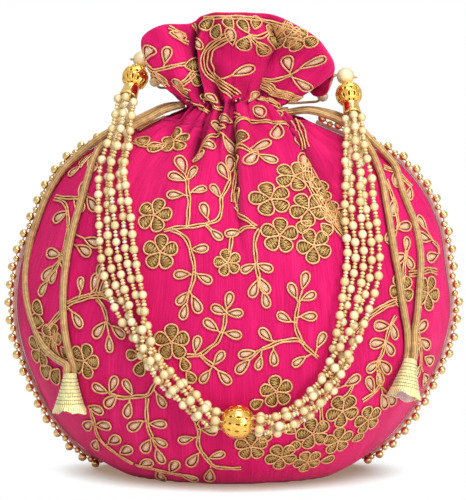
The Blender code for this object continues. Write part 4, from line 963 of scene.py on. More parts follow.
def pads(name, side, found, inset, high, made_of):
    """A low pad inside each loop."""
    rings = [(1.0, -0.1), (0.93, 0.5), (0.62, 0.9), (0.3, 1.0)]
    count = 14
    points, faces, flats = [], [], []
    for loop in found:
        start = len(points)
        for grow, lift in rings:
            outline = teardrop(count, grow) * np.array(inset) + np.array([0.08, 0])
            s, v, _ = lay_loop(side, loop, outline)
            out = cloth_ways(side, s, v)[0]
            points += list(cloth(side, s, v) + out * lift * high)
            size = np.array([loop[2], loop[3]]) / 2
            flats += list(outline * size + 30 * np.array([len(points) % 97, 0]))
        for ring in range(len(rings) - 1):
            for i in range(count):
                a, b = start + ring * count + i, start + ring * count + (i + 1) % count
                faces.append((a, b, b + count, a + count))
        faces.append(tuple(range(start + (len(rings) - 1) * count, start + len(rings) * count)))
    if side == BACK:
        faces = [face[::-1] for face in faces]
    made = add_mesh(name, points, faces, made_of)
    add_uv(made, flats)
    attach(made, "bag")
    return made


def places(rows):
    table = np.array(rows, float) / 1000
    return table[:, :2], table[:, 2:]


for word, side in (("front", FRONT), ("back", BACK)):
    flowers = [(s / 1000, v / 1000, radius, turn) for s, v, radius, turn in FLOWERS]
    leaves = loops(side, *places(LEAVES), LEAF_WIDTH)
    petals = loops(side, *places(PETALS), PETAL_WIDTH, flowers)
    outline = teardrop(OUTLINE_POINTS)
    edges = [lay_loop(side, loop, outline)[:2] for loop in leaves + petals]
    cords = [line for number, way in STEMS for line in lay_stem(side, number, way)]
    for a, b, c, d in STALKS:
        cords += lay_stem(side, 1, [(a, b), ((a + c) / 2, (b + d) / 2), (c, d)])
    zari = cord_lines(f"zari_{word}", side, edges + cords,
                      [True] * len(edges) + [False] * len(cords))
    grown(zari, COUCHED_CORD, Radius=CORD_WIDTH / 2 * MM, Sides=6, Finish=ZARI)
    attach(zari, "bag")
    coils = [lay_coil(side, loop) for loop in petals]
    coiled = cord_lines(f"petal_coils_{word}", side, coils, [False] * len(coils), PAD_HEIGHT)
    grown(coiled, COUCHED_CORD, Radius=COIL_WIDTH / 2 * MM, Sides=4, Finish=COIL)
    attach(coiled, "bag")
    pads(f"leaf_pads_{word}", side, leaves, (0.72, 0.60), 0.8, SATIN_STITCH)
    pads(f"petal_pads_{word}", side, petals, (0.84, 0.78), PAD_HEIGHT, COILED_THREAD)


# Beaded trim
# A cream cotton tape is sewn into the seam, with gilt beads threaded along its edge: large
# ones stand out in a row, and a smaller one sits a little further in between each two.
TRIM_START, TRIM_PITCH = 0.93, 9.0
# Between these heights up the panel the trim leaves the side for the front, by this share
# of half a panel
TRIM_LEAVES, TRIM_BACK, TRIM_FORWARD = 0.42, 0.04, 0.38
TAPE_IN, TAPE_OUT, TAPE_HALF = 0.1, 2.1, 0.4
LARGE_BEAD, LARGE_OUT, SMALL_BEAD, SMALL_OUT = 4.4, 4.0, 3.5, 2.7


def bead_tree():
    """Strings beads on the points of a line: round ones, and a second kind at each point
    that is marked, with a thread through them all."""
    tree = bpy.data.node_groups.new("strung beads", "GeometryNodeTree")
    for name, kind in (("Line", "Geometry"), ("Flatness", "Float"), ("Thread radius", "Float"),
                       ("Round finish", "Material"), ("Marked finish", "Material"),
                       ("Thread finish", "Material")):
        tree.interface.new_socket(name, in_out="INPUT", socket_type=f"NodeSocket{kind}")
    tree.interface.new_socket("Beads", in_out="OUTPUT", socket_type="NodeSocketGeometry")
    given = put(tree, "NodeGroupInput").outputs
    marked, across, way = (put(tree, "GeometryNodeInputNamedAttribute", {"Name": name},
                               data_type=kind).outputs["Attribute"]
                           for name, kind in (("marked", "BOOLEAN"), ("across", "FLOAT"),
                                              ("way", "FLOAT_VECTOR")))
    plain = put(tree, "FunctionNodeBooleanMath", {0: marked}, operation="NOT").outputs[0]
    turn = put(tree, "FunctionNodeAlignRotationToVector", {"Vector": way}, axis="Z").outputs[0]
    strings = []
    for which, segments, rings, flat, made_of in (
            (plain, 12, 8, 1.0, given["Round finish"]),
            (marked, 9, 6, given["Flatness"], given["Marked finish"])):
        ball = put(tree, "GeometryNodeMeshUVSphere",
                   {"Segments": segments, "Rings": rings, "Radius": 0.5}).outputs[0]
        shape = put(tree, "ShaderNodeCombineXYZ", {"X": 1.0, "Y": 1.0, "Z": flat}).outputs[0]
        ball = put(tree, "GeometryNodeTransform", {"Geometry": ball, "Scale": shape}).outputs[0]
        strung = put(tree, "GeometryNodeInstanceOnPoints",
                     {"Points": given["Line"], "Selection": which, "Instance": ball,
                      "Rotation": turn, "Scale": across}).outputs[0]
        strung = put(tree, "GeometryNodeRealizeInstances", {"Geometry": strung}).outputs[0]
        strings.append(put(tree, "GeometryNodeSetMaterial", {"Geometry": strung,
                                                             "Material": made_of}).outputs[0])
    line = put(tree, "GeometryNodeMeshToCurve", {"Mesh": given["Line"]}).outputs[0]
    ring = put(tree, "GeometryNodeCurvePrimitiveCircle",
               {"Resolution": 5, "Radius": given["Thread radius"]}).outputs[0]
    thread = put(tree, "GeometryNodeCurveToMesh", {"Curve": line, "Profile Curve": ring,
                                                   "Fill Caps": True}).outputs[0]
    strings.append(put(tree, "GeometryNodeSetMaterial",
                       {"Geometry": thread, "Material": given["Thread finish"]}).outputs[0])
    joined = put(tree, "GeometryNodeJoinGeometry")
    for part in strings:
        tree.links.new(part, joined.inputs[0])
    smooth = put(tree, "GeometryNodeSetShadeSmooth", {"Geometry": joined.outputs[0]}).outputs[0]
    put(tree, "NodeGroupOutput", {0: smooth})
    return tree


def bead_line(name, points, marked, across, tint):
    """A line of points in millimetres, ready to be strung with beads."""
    points = np.array(points, float)
    mesh = bpy.data.meshes.new(name)
    mesh.from_pydata(points * MM, [(i, i + 1) for i in range(len(points) - 1)], [])
    way = unit(np.gradient(points, axis=0))
    for label, kind, field, values in (("marked", "BOOLEAN", "value", marked),
                                       ("across", "FLOAT", "value", np.array(across) * MM),
                                       ("tint", "FLOAT", "value", tint),
                                       ("way", "FLOAT_VECTOR", "vector", way.ravel())):
        layer = mesh.attributes.new(label, kind, "POINT")
        layer.data.foreach_set(field, np.array(values))
    made = bpy.data.objects.new(name, mesh)
    bpy.context.scene.collection.objects.link(made)
    return made


def metal(name, dark, bright, roughness, grain=900.0, bump=0.15):
    """Gilt metal with small dents and a colour that wanders a little."""
    made, tree, shader = finish(name, bright, roughness, 1.0)
    place = put(tree, "ShaderNodeTexCoord").outputs["Object"]
    patch = noise(tree, place, grain, 3.0, 0.6)
    colour = ramp(tree, patch, (0.3, dark), (0.6, bright))
    rough = put(tree, "ShaderNodeMapRange", {"Value": patch, "To Min": roughness * 0.7,
                                             "To Max": roughness * 1.5}).outputs[0]
    relief = put(tree, "ShaderNodeBump", {"Strength": bump, "Distance": 0.0002,
                                          "Height": patch}).outputs[0]
    tree.links.new(colour, shader.inputs["Base Color"])
    tree.links.new(rough, shader.inputs["Roughness"])
    tree.links.new(relief, shader.inputs["Normal"])
    return made


def seam_line():
    """The line of the trim from one shoulder round the base to the other: its points, the
    way across it from front to back, and the way into the bag."""
    up = np.linspace(0, TRIM_START, 130)
    share = 1 - TRIM_FORWARD * ease(TRIM_LEAVES, 0.0, up) ** 2.4 * ease(TRIM_BACK, 0.17, up)
    base = np.linspace(-1, 1, 80)[1:-1]
    v = np.concatenate([up[::-1], 0 * base, up])
    p = cloth(FRONT, np.concatenate([-share[::-1], base, share]), v, folds=False)
    turn = math.pi / 2 * ease(0.1, 0.0, v)
    split = np.stack([0 * v, np.cos(turn), np.sin(turn)], -1)
    middle = np.stack([0.6 * p[:, 0], p[:, 1] * ease(0.05, 0.15, v), np.maximum(60.0, p[:, 2])], -1)
    inward = middle - p
    for way in (unit(np.gradient(p, axis=0)), split):
        inward -= way * (inward * way).sum(-1, keepdims=True)
    return p, split, unit(inward)


def trim():
    p, split, inward = seam_line()
    section = [(TAPE_IN, -0.5), (TAPE_IN, 0.5), (1.5, 0.85), (TAPE_OUT - 0.3, 1.0),
               (TAPE_OUT, 0.5), (TAPE_OUT, -0.5), (TAPE_OUT - 0.3, -1.0), (1.5, -0.85)]
    rings = np.stack([p - inward * out + split * TAPE_HALF * half for out, half in section], 1)
    rows, columns = rings.shape[:2]
    faces = []
    for i in range(rows - 1):
        for j in range(columns):
            a, b = i * columns + j, i * columns + (j + 1) % columns
            faces.append((a, b, b + columns, a + columns))
    last = (rows - 1) * columns
    faces += [tuple(range(columns))[::-1], tuple(range(last, last + columns))]
    tape = add_mesh("trim_tape", rings.reshape(-1, 3), faces, TAPE_COTTON)
    run = run_of(p)
    around = np.array([abs(out) + half for out, half in section])
    add_uv(tape, np.stack(np.broadcast_arrays(run[:, None], around), -1).reshape(-1, 2))
    shut(tape)

    edge = p - inward * LARGE_OUT
    run = run_of(edge)
    count = round((run[-1] - LARGE_BEAD) / TRIM_PITCH)
    at = np.linspace(LARGE_BEAD / 2, run[-1] - LARGE_BEAD / 2, 2 * count + 1)
    small = np.arange(len(at)) % 2 == 1
    out = np.where(small, SMALL_OUT, LARGE_OUT)[:, None]
    place = [np.stack([np.interp(at, run, way[:, k]) for k in range(3)], -1)
             for way in (p, inward)]
    stray = np.random.default_rng(5)
    shift = stray.normal(0, 0.12, (len(at), 3))
    across = np.where(small, SMALL_BEAD, LARGE_BEAD) * stray.uniform(0.97, 1.03, len(at))
    beads = bead_line("trim_beads", place[0] - place[1] * out + shift, small, across,
                      stray.uniform(0, 1, len(at)))
    grown(beads, STRUNG_BEADS, **{"Flatness": 0.95, "Thread radius": 0.35 * MM,
                                  "Round finish": GILT_BEAD, "Marked finish": GILT_BEAD,
                                  "Thread finish": TAPE_COTTON})
    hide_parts("beaded_trim")
    for made in (tape, beads):
        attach(made, "bag")


def shut(made):
    """Turns every face of a closed piece outward."""
    work = bmesh.new()
    work.from_mesh(made.data)
    bmesh.ops.recalc_face_normals(work, faces=work.faces)
    work.to_mesh(made.data)
    work.free()


STRUNG_BEADS = bead_tree()
TAPE_COTTON = weave("tape cotton", (0.42, 0.19, 0.15), (0.68, 0.40, 0.32), (0.88, 0.66, 0.55),
                    0.7, 0.6)
GILT_BEAD = metal("gilt bead", (0.62, 0.40, 0.12), (0.90, 0.68, 0.32), 0.16)
trim()


# Drawstrings
# Two cords of antique gold fabric run round the neck in its casing. The ends of one come out
# on the left and those of the other on the right, and lie on the bag down to their bells.
STRING_WIDTH, STRING_SIDES = 3.5, 16
LOOP_LEVELS = {"left": 186.2, "right": 182.2}
LOOP_HALF_WIDTH, LOOP_HALF_DEPTH, LOOP_OPENING = 19.5, 10.6, 0.18
STRINGS = {
    ("left", 1): [
        (-26.2, 1.9, 186.2), (-35.5, -1.0, 185.2), (-44.3, -3.9, 181.4), (-53.2, -4.4, 177.0),
        (-62.4, -5.6, 173.3), (-70.7, -5.9, 168.0), (-78.4, -5.2, 161.7), (-85.9, -4.6, 155.1),
        (-91.6, -3.2, 147.0), (-96.2, -2.8, 138.3), (-99.7, -3.4, 129.0), (-102.9, -4.3, 119.6),
        (-104.8, -5.7, 109.9), (-105.6, -8.3, 100.3), (-105.0, -11.5, 90.9),
        (-102.7, -14.9, 81.9), (-99.3, -19.1, 73.5), (-95.1, -25.2, 66.9), (-89.1, -31.7, 62.2),
        (-83.1, -39.2, 59.7), (-83.1, -39.4, 56.2)],
    ("left", 2): [
        (-26.2, -1.9, 186.2), (-34.6, -5.6, 184.0), (-43.1, -7.2, 179.8), (-51.6, -8.5, 175.4),
        (-59.7, -8.9, 170.2), (-67.6, -6.7, 165.4), (-71.3, -11.4, 158.5), (-73.3, -17.4, 151.2),
        (-75.5, -21.6, 142.8), (-78.0, -24.6, 134.1), (-80.5, -26.9, 125.0),
        (-82.5, -28.7, 115.8), (-84.0, -30.3, 106.4), (-84.8, -31.7, 97.0), (-84.9, -33.5, 87.5),
        (-84.2, -35.6, 78.1), (-82.7, -36.1, 68.7), (-79.9, -37.1, 59.5), (-79.9, -37.3, 56.0)],
    ("right", 1): [
        (26.2, -1.9, 182.2), (35.7, -3.5, 183.3), (45.0, -3.8, 181.1), (53.9, -3.6, 177.1),
        (61.1, -6.1, 171.7), (66.4, -10.8, 165.2), (70.2, -14.2, 156.9), (72.7, -19.1, 149.0),
        (73.8, -23.7, 140.6), (75.2, -27.8, 131.9), (76.5, -31.0, 122.8), (77.9, -33.0, 113.4),
        (79.7, -34.4, 104.0), (81.0, -34.4, 94.3), (82.7, -34.0, 84.8), (84.3, -32.9, 75.2),
        (84.6, -32.5, 65.6), (84.0, -33.6, 62.3)],
    ("right", 2): [
        (26.2, 1.9, 182.2), (35.5, 3.5, 183.6), (45.1, 3.5, 182.4), (54.2, 2.0, 179.6),
        (61.7, -2.0, 175.2), (67.7, -5.4, 168.5), (74.5, -5.4, 162.0), (79.9, -7.2, 155.3),
        (81.9, -12.0, 147.2), (84.7, -15.4, 138.6), (88.2, -16.9, 129.8), (90.5, -19.1, 120.7),
        (91.6, -21.6, 111.5), (91.2, -24.2, 102.2), (90.4, -26.7, 92.9), (89.5, -28.7, 83.5),
        (87.9, -29.9, 74.1), (87.9, -34.4, 65.6), (87.3, -35.4, 62.3)]}
DORI = thread_finish("antique gold cord", (0.28, 0.14, 0.045), (0.50, 0.30, 0.11),
                     (0.72, 0.48, 0.20), 0.5, 0.15, 18.0, 9.0, 0.3,
                     **{"Sheen Weight": 0.2, "Sheen Roughness": 0.4})


def bare_line(name, points):
    mesh = bpy.data.meshes.new(name)
    mesh.from_pydata(np.array(points) * MM, [(i, i + 1) for i in range(len(points) - 1)], [])
    made = bpy.data.objects.new(name, mesh)
    bpy.context.scene.collection.objects.link(made)
    return made


def drawstring(name, points, node):
    made = bare_line(name, points)
    grown(made, COUCHED_CORD, Radius=STRING_WIDTH / 2 * MM, Sides=STRING_SIDES, Finish=DORI)
    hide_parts(node)
    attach(made, "bag")
    return made


for hand, level in LOOP_LEVELS.items():
    facing = math.pi if hand == "left" else 0
    turn = np.linspace(facing + LOOP_OPENING, facing + 2 * math.pi - LOOP_OPENING, 60)
    ring = np.stack([LOOP_HALF_WIDTH * np.cos(turn), LOOP_HALF_DEPTH * np.sin(turn),
                     level + 0 * turn], -1)
    drawstring(f"string_{hand}_in_casing", ring, f"drawstring_{hand}_in_casing")

# Bells
# Each pair of cord ends is sewn into a stiff cone of pale gold brocade, ridged with rows of
# stitching, lined in pink and cut raw at its rim, where the edge waves and frays.
BELLS = {"left": ((-81.5, -38.4, 55.8), (0, -0.06, -1)),
         "right": ((85.6, -34.6, 62.0), (-0.17, -0.3, -0.93))}
BELL_TOP, BELL_RIM, BELL_HEIGHT, BELL_WALL = 7.2, 17.6, 19.0, 0.9
BELL_RIBS, BELL_SIDES, BELL_ROWS = 9, 72, 76


def square_to(axis):
    """The axis, and two ways square to it and to each other."""
    axis = unit(np.array(axis, float))
    helper = np.array([0, 0, 1.0]) if abs(axis[2]) < 0.9 else np.array([1.0, 0, 0])
    first = unit(np.cross(helper, axis))
    return axis, first, np.cross(axis, first)


def brocade():
    made, tree, shader = finish("pale brocade", (0.86, 0.80, 0.36), 0.4, 0.25,
                                **{"Sheen Weight": 0.3, "Sheen Roughness": 0.4})
    cut = put(tree, "ShaderNodeUVMap", uv_map="cut").outputs[0]
    groove = put(tree, "ShaderNodeAttribute", attribute_name="groove").outputs["Fac"]
    weft = put(tree, "ShaderNodeTexWave", {"Vector": cut, "Scale": 420.0, "Distortion": 2.0,
                                           "Detail": 2.0}).outputs["Fac"]
    patch = noise(tree, cut, 260.0, 4.0, 0.65)
    shade = sums(tree, "ADD", sums(tree, "MULTIPLY", weft, 0.35), sums(tree, "MULTIPLY", patch, 0.65))
    pale = ramp(tree, shade, (0.28, (0.52, 0.44, 0.13)), (0.5, (0.84, 0.76, 0.32)),
                (0.7, (1.0, 0.97, 0.60)))
    # Painted shade: the grooves between the ribs are darkened, unevenly, almost to black.
    uneven = noise(tree, stretched(tree, cut, (1.0, 3.0, 1.0)), 160.0, 2.0)
    sunk = sums(tree, "MULTIPLY", groove,
                put(tree, "ShaderNodeMapRange", {"Value": uneven, "From Min": 0.3, "From Max": 0.6,
                                                 "To Min": 0.5, "To Max": 1.0}).outputs[0])
    colour = put(tree, "ShaderNodeMix", {"Factor": sunk, "B": (0.07, 0.06, 0.015, 1)},
                 data_type="RGBA")
    tree.links.new(pale, colour.inputs["A"])
    relief = put(tree, "ShaderNodeBump", {"Strength": 0.6, "Distance": 0.0002,
                                          "Height": weft}).outputs[0]
    tree.links.new(colour.outputs["Result"], shader.inputs["Base Color"])
    tree.links.new(relief, shader.inputs["Normal"])
    return made


BROCADE = brocade()
BELL_LINING = weave("bell lining", (0.55, 0.32, 0.34), (0.78, 0.55, 0.55), (0.9, 0.74, 0.72), 0.6, 0.4)


def bell(hand, top, way):
    """A ribbed cone with a wall, its rim waving, and the share of each groove it has."""
    axis, first, second = square_to(way)
    share, turn = np.meshgrid(np.linspace(0, 1, BELL_ROWS),
                              np.linspace(0, 2 * math.pi, BELL_SIDES, endpoint=False),
                              indexing="ij")
    stray = np.random.default_rng(11 if hand == "left" else 12)
    fray = stray.uniform(-1, 1, BELL_SIDES)
    rim = ease(0.82, 1.0, share)
    ribbed = ease(0.04, 0.1, share) * ease(0.86, 0.78, share)
    phase = share * BELL_RIBS / 0.82 + 0.02 * np.sin(2 * turn + 5 * share)
    groove = ribbed * np.maximum(0, 0.5 - np.abs(phase % 1 - 0.5) * 3.2) * 2
    height = BELL_HEIGHT * share + rim * (0.75 * np.sin(3 * turn + 1) + 0.45 * np.sin(7 * turn)
                                          + 0.22 * fray)
    radius = BELL_TOP / 2 + (BELL_RIM - BELL_TOP) / 2 * share**1.25
    radius += 0.16 * np.sin(2 * turn + 2) + 0.1 * np.sin(5 * turn + 4 * share)
    radius -= 0.38 * groove
    radius += rim * (0.35 * np.sin(4 * turn) + 0.3 * np.sin(9 * turn + 2)) - 0.3
    inner_radius = np.maximum(radius - BELL_WALL, 0.4)
    inner_height = np.maximum(height, 1.8)
    ways = np.cos(turn)[..., None] * first + np.sin(turn)[..., None] * second
    outer = np.array(top) + axis * height[..., None] + ways * radius[..., None]
    inner = np.array(top) + axis * inner_height[..., None] + ways * inner_radius[..., None]
    points = np.vstack([outer.reshape(-1, 3), inner[::-1].reshape(-1, 3)])
    rows, columns = 2 * BELL_ROWS, BELL_SIDES
    faces = [(i * columns + j, i * columns + (j + 1) % columns,
              (i + 1) * columns + (j + 1) % columns, (i + 1) * columns + j)
             for i in range(rows - 1) for j in range(columns)]
    ends = (tuple(range(columns)), tuple(range((rows - 1) * columns, rows * columns)))
    made = add_mesh(f"brocade_bell_{hand}", points, faces + list(ends), BROCADE, BELL_LINING)
    lined = np.zeros(len(made.data.polygons), int)
    lined[(BELL_ROWS + 1) * columns:-2] = 1
    made.data.polygons.foreach_set("material_index", lined)
    flat = np.stack([turn * 5.0, share * BELL_HEIGHT], -1).reshape(-1, 2)
    add_uv(made, np.vstack([flat, flat[::-1]]))
    # The grooves' share goes to the brocade, which paints shade in them.
    sunk = made.data.attributes.new("groove", "FLOAT", "POINT")
    sunk.data.foreach_set("value", np.concatenate([groove.ravel(), 0 * groove.ravel()]))
    shut(made)
    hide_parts(f"bell_{hand}")
    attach(made, "bag")
    return made


bells = {hand: bell(hand, *seat) for hand, seat in BELLS.items()}
for (hand, number), route in STRINGS.items():
    made = drawstring(f"string_{hand}_{number}", smooth_line(route, 5),
                      f"drawstring_{hand}_{number}")
    route = np.array(route) * MM


# Ties and their pearls
# A thread tie is sewn to each side of the neck behind the frill. It carries a small pearl, and
# then the large pearl that the handle turns on, which a knot keeps from slipping off.
HINGES = {"left": (-47.5, 6.0, 208.4), "right": (55.2, 6.0, 200.2)}
HINGE_AXIS = (0.99683, 0, -0.07959)
HANGS = {"left": (-6.4, -14.4, -18.6), "right": (2.8, -14.4, -18.6)}
TIE_BEADS = {"left": ((-41, 8.4, 197.6), (-0.5, -0.35, 0.8)),
             "right": ((44, 12, 190), (0.6, -0.45, 0.66))}
HINGE_PEARL, HINGE_BORE, TIE_PEARL, TIE_BORE = 8.8, 2.5, 5.6, 2.4
TIE_WIDTH, TIE_SIDES, PIN_END = 1.3, 8, 2.5


def pearl_finish():
    """A pearl's warm white under a clear coat, darkened towards its edges by painted shade and
    reflection.
    """
    made, tree, shader = finish("pearl", (0.93, 0.86, 0.66), 0.3,
                                **{"Coat Weight": 0.6, "Coat Roughness": 0.08,
                                   "Specular IOR Level": 0.6})
    tint = put(tree, "ShaderNodeAttribute", attribute_name="tint").outputs["Fac"]
    place = put(tree, "ShaderNodeTexCoord").outputs["Object"]
    cloud = noise(tree, place, 500.0, 2.0)
    body = ramp(tree, sums(tree, "ADD", sums(tree, "MULTIPLY", tint, 0.6),
                           sums(tree, "MULTIPLY", cloud, 0.4)),
                (0.1, (0.78, 0.58, 0.24)), (0.5, (0.92, 0.76, 0.41)), (0.9, (1.0, 0.91, 0.60)))
    # Painted shade and reflection: the colour darkens to brown where the pearl turns away from the
    # view.
    edge = put(tree, "ShaderNodeLayerWeight", {"Blend": 0.45}).outputs["Facing"]
    colour = put(tree, "ShaderNodeMix", {"Factor": sums(tree, "MULTIPLY", edge, 0.8), "A": body,
                                         "B": (0.38, 0.19, 0.045, 1)}, data_type="RGBA")
    tree.links.new(colour.outputs["Result"], shader.inputs["Base Color"])
    return made


def turned(name, section, origin, axis, *finishes, sides=40):
    """A ring or ball turned about an axis, from (along, radius) points round its section."""
    axis, first, second = square_to(axis)
    turn = np.linspace(0, 2 * math.pi, sides, endpoint=False)
    ways = np.cos(turn)[:, None] * first + np.sin(turn)[:, None] * second
    points = np.vstack([np.array(origin) + axis * along + ways * radius
                        for along, radius in section])
    rows = len(section)
    faces = [(i * sides + j, i * sides + (j + 1) % sides, (i + 1) % rows * sides + (j + 1) % sides,
              (i + 1) % rows * sides + j) for i in range(rows) for j in range(sides)]
    made = add_mesh(name, points, faces, *finishes)
    shut(made)
    return made


def bored_ball(diameter, bore, rows=22):
    """The section of a ball with a hole from end to end."""
    start = math.asin(bore / diameter)
    turn = np.linspace(start, math.pi - start, rows)
    return [(-diameter / 2 * math.cos(t), diameter / 2 * math.sin(t)) for t in turn]


PEARL = pearl_finish()
THREAD = thread_finish("tie thread", (0.34, 0.2, 0.09), (0.56, 0.38, 0.17), (0.75, 0.57, 0.3), 0.6,
                       0.1, 0.0, 0.0, 0.2)


def tube_rings(node, sides, start):
    """The middles and radii of a CAD tube's rings, from the end nearest a point."""
    work = bmesh.new()
    work.from_mesh(node.data)
    bmesh.ops.remove_doubles(work, verts=work.verts, dist=1e-7)
    start = Vector(start) * MM
    ring = sorted(work.verts, key=lambda vertex: (vertex.co - start).length)[:sides]
    seen, found = set(ring), []
    while ring:
        places = np.array([vertex.co for vertex in ring]) / MM
        middle = places.mean(axis=0)
        found.append((*middle, np.linalg.norm(places - middle, axis=1).mean()))
        beyond = {edge.other_vert(vertex) for vertex in ring for edge in vertex.link_edges}
        ring = sorted(beyond - seen, key=lambda vertex: vertex.index)
        seen |= beyond
    work.free()
    return np.array(found)


def set_tint(made, value):
    layer = made.data.attributes.new("tint", "FLOAT", "POINT")
    layer.data.foreach_set("value", np.full(len(made.data.vertices), value))


for hand, centre in HINGES.items():
    for name, size, bore, at, along, body in (
            (f"hinge_pearl_{hand}", HINGE_PEARL, HINGE_BORE, centre, HINGE_AXIS, "handle"),
            (f"tie_pearl_{hand}", TIE_PEARL, TIE_BORE, *TIE_BEADS[hand], "bag")):
        made = turned(f"{name}_round", bored_ball(size, bore), at, along, PEARL)
        set_tint(made, 0.8)
        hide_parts(name)
        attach(made, body)
    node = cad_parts[f"hanger_{hand}"]
    node.data.materials.clear()
    node.data.materials.append(THREAD)
    outer = square_to(HINGE_AXIS)[0] * (-1 if hand == "left" else 1)
    rings = tube_rings(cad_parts[f"tie_{hand}"], TIE_SIDES,
                       np.array(centre) + outer * (HINGE_PEARL / 2 + PIN_END))
    ends = [rings[0, :3] - outer * 1.6, *rings[2:-2, :3], rings[-1, :3]]
    line = smooth_line(ends, 6)
    tie = bare_line(f"thread_tie_{hand}", line)
    grown(tie, COUCHED_CORD, Radius=TIE_WIDTH / 2 * MM, Sides=10, Finish=THREAD)
    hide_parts(f"tie_{hand}")
    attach(tie, "bag")

# Filigree balls and caps
# At each end of the handle hang a gilt ball pierced with rows of slots and, under it, a
# polished cap that gathers the strands. A larger pierced ball is strung in the middle.
END_BALL, BALL_BORE, CENTRE_BALL, CENTRE_BORE = 13.4, 2.6, 16.5, 6.4
BALL_DROP = 11.4
CAP_LENGTH, CAP_MOUTH, CAP_TOP, CAP_WALL, CAP_HOLE, CAP_GAP = 6.8, 9.2, 7.2, 0.8, 2.4, 0.3
CENTRE_AT, CENTRE_AXIS = (0.771, -65.694, 36.276), (0.99288, 0, -0.11915)
# Rows of slots: latitude and half height in degrees, how many round, their half width as a
# share of the space each has, and the turn of the row
END_SLOTS = [(58, 6, 10, 0.4, 0), (30, 12, 12, 0.38, 0.5), (0, 7, 12, 0.45, 0),
             (-30, 12, 12, 0.38, 0.5)]
CENTRE_SLOTS = [(50, 5, 10, 0.3, 0), (29, 7, 13, 0.3, 0.5), (0, 9, 14, 0.3, 0),
                (-29, 7, 13, 0.3, 0.5), (-50, 5, 10, 0.3, 0)]
SLOT_DEPTH, WIRE_RISE = 0.6, 0.12


def pierced_gold():
    """Polished gilt, with painted shade dark brown down in the slots."""
    made, tree, shader = finish("pierced gilt", (0.93, 0.62, 0.16), 0.26, 1.0)
    # Painted shade: the slots, pierced through to the dark inside of the real ball, are coloured dark
    # brown.
    sunk = put(tree, "ShaderNodeAttribute", attribute_name="sunk").outputs["Fac"]
    place = put(tree, "ShaderNodeTexCoord").outputs["Object"]
    patch = noise(tree, place, 380.0, 3.0, 0.6)
    gold = ramp(tree, patch, (0.3, (0.95, 0.48, 0.07)), (0.62, (1.0, 0.68, 0.17)))
    colour = put(tree, "ShaderNodeMix", {"Factor": sunk, "A": gold, "B": (0.22, 0.07, 0.01, 1)},
                 data_type="RGBA")
    rough = sums(tree, "ADD", 0.26, sums(tree, "MULTIPLY", sunk, 0.5))
    relief = put(tree, "ShaderNodeBump", {"Strength": 0.08, "Distance": 0.0002,
                                          "Height": patch}).outputs[0]
    tree.links.new(colour.outputs["Result"], shader.inputs["Base Color"])
    tree.links.new(rough, shader.inputs["Roughness"])
    tree.links.new(relief, shader.inputs["Normal"])
    return made


def filigree_ball(name, diameter, bore, at, axis, slots, node, body="handle"):
    """A bored ball with slots sunk in it, each with a raised wire round it."""
    axis, first, second = square_to(axis)
    start = math.asin(bore / diameter)
    rows, columns = 110, 160
    lean, turn = np.meshgrid(np.linspace(-math.pi / 2 + start, math.pi / 2 - start, rows),
                             np.linspace(0, 2 * math.pi, columns, endpoint=False), indexing="ij")
    nearest = np.full(lean.shape, 9.0)
    for latitude, half_height, number, share, offset in slots:
        step = 2 * math.pi / number
        aside = (turn / step + offset + 0.5) % 1 - 0.5
        up = (lean - math.radians(latitude)) / math.radians(half_height)
        nearest = np.minimum(nearest, np.hypot(aside / (0.5 * share), up))
    sunk = ease(1.0, 0.8, nearest)
    wire = np.exp(-((nearest - 1.35) / 0.25) ** 2)
    radius = diameter / 2 - WIRE_RISE + WIRE_RISE * wire - SLOT_DEPTH * sunk
    edge = ease(0, 0.12, np.minimum(lean + math.pi / 2 - start, math.pi / 2 - start - lean))
    radius = diameter / 2 * (1 - edge) + radius * edge
    ways = np.cos(turn)[..., None] * first + np.sin(turn)[..., None] * second
    points = np.array(at) + radius[..., None] * (np.cos(lean)[..., None] * ways
                                                 + np.sin(lean)[..., None] * axis)
    faces = [(i * columns + j, i * columns + (j + 1) % columns,
              (i + 1) % rows * columns + (j + 1) % columns, (i + 1) % rows * columns + j)
             for i in range(rows) for j in range(columns)]
    made = add_mesh(name, points.reshape(-1, 3), faces, PIERCED_GOLD)
    # The slots' share goes to the finish, which paints shade in them.
    layer = made.data.attributes.new("sunk", "FLOAT", "POINT")
    layer.data.foreach_set("value", (sunk * edge).ravel())
    shut(made)
    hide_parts(node)
    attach(made, body)
    return made


PIERCED_GOLD = pierced_gold()
POLISHED_GOLD = metal("polished gilt", (0.80, 0.46, 0.10), (0.98, 0.70, 0.25), 0.12, 260.0, 0.08)
for hand, centre in HINGES.items():
    hang = square_to(HANGS[hand])[0]
    ball = np.array(centre) + hang * BALL_DROP
    filigree_ball(f"filigree_ball_{hand}", END_BALL, BALL_BORE, ball, hang, END_SLOTS,
                  f"end_ball_{hand}")
    seat, lip = (math.sqrt((END_BALL / 2) ** 2 - (width / 2) ** 2) + CAP_GAP
                 for width in (CAP_TOP, CAP_HOLE))
    mouth = seat + CAP_LENGTH
    top, wide, wall = CAP_TOP / 2, CAP_MOUTH / 2, CAP_WALL
    section = [(mouth, wide - wall), (mouth, wide - 0.25), (mouth - 0.3, wide + 0.05),
               (mouth - 0.7, wide), (mouth - 0.85, wide - 0.2), (mouth - 1.0, wide - 0.2),
               (seat + 2.6, top + 0.6), (seat + 0.6, top + 0.4), (seat + 0.25, top + 0.3),
               (seat + 0.05, top), (lip, CAP_HOLE / 2),
               (lip + wall, CAP_HOLE / 2), (lip + wall, top - wall)]
    cap = turned(f"gilt_cap_{hand}", section, ball, hang, POLISHED_GOLD, sides=64)
    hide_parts(f"cap_{hand}")
    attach(cap, "handle")
filigree_ball("filigree_ball_centre", CENTRE_BALL, CENTRE_BORE, CENTRE_AT, CENTRE_AXIS,
              CENTRE_SLOTS, "centre_ball")

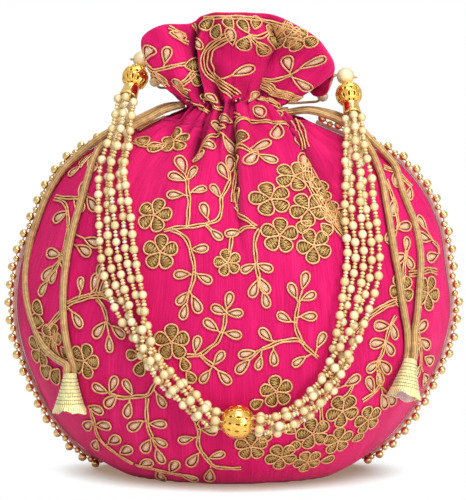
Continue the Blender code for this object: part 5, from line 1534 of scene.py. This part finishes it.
# Pearl strands
# Five threads run from cap to cap through the middle ball. On each, a pearl alternates with
# two gilt seed beads, and every thread lies where its CAD strand does.
STRANDS, STRAND_SIDES = 5, 5
STRAND_PEARL, SEED_WIDTH, SEED_LONG, THREAD_RADIUS = 4.5, 2.6, 1.65, 0.5
SILVER_SEEDS = 0.02


def seed_finish():
    """Glassy gilt seed beads, with a silver one here and there."""
    made, tree, shader = finish("seed bead", (0.80, 0.56, 0.24), 0.2, 0.35,
                                **{"Coat Weight": 0.4, "Coat Roughness": 0.1})
    tint = put(tree, "ShaderNodeAttribute", attribute_name="tint").outputs["Fac"]
    colour = ramp(tree, tint, (0.0, (0.74, 0.50, 0.18)), (0.5, (0.90, 0.68, 0.32)),
                  (1 - SILVER_SEEDS - 0.01, (0.98, 0.82, 0.50)),
                  (1 - SILVER_SEEDS, (0.88, 0.86, 0.80)))
    tree.links.new(colour, shader.inputs["Base Color"])
    return made


SEED_BEAD = seed_finish()
for number in range(1, STRANDS + 1):
    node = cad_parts[f"pearl_strand_{number}"]
    hang = square_to(HANGS["left"])[0]
    rings = tube_rings(node, STRAND_SIDES, np.array(HINGES["left"]) + hang * (BALL_DROP + 10.2))
    wide = rings[:, 3]
    pearls = [i for i in range(1, len(rings) - 1)
              if wide[i] > 0.45 * STRAND_PEARL and wide[i] >= max(wide[i - 1], wide[i + 1])]
    stray = np.random.default_rng(100 + number)
    points, marked, across, tint = [rings[0, :3]], [False], [0.6], [0.5]
    line = smooth_line(rings[pearls, :3], 10)
    for k in range(len(pearls)):
        if k:
            between = line[10 * (k - 1):10 * k + 1]
            run = run_of(between)
            if run[-1] < 3 * STRAND_PEARL:
                for step in (-0.5, 0.5):
                    at = run[-1] / 2 + step * SEED_LONG
                    points.append([np.interp(at, run, between[:, j]) for j in range(3)])
                    marked.append(True)
                    across.append(SEED_WIDTH * stray.uniform(0.93, 1.05))
                    tint.append(stray.uniform(0, 1))
        points.append(rings[pearls[k], :3])
        marked.append(False)
        across.append(STRAND_PEARL * stray.uniform(0.93, 1.03))
        tint.append(stray.uniform(0, 1))
    points.append(rings[-1, :3])
    marked.append(False)
    across.append(0.6)
    tint.append(0.5)
    strand = bead_line(f"strung_pearls_{number}", points, marked, across, tint)
    grown(strand, STRUNG_BEADS,
          **{"Flatness": SEED_LONG / SEED_WIDTH, "Thread radius": THREAD_RADIUS * MM,
             "Round finish": PEARL, "Marked finish": SEED_BEAD, "Thread finish": THREAD})
    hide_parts(node.name)
    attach(strand, "handle")
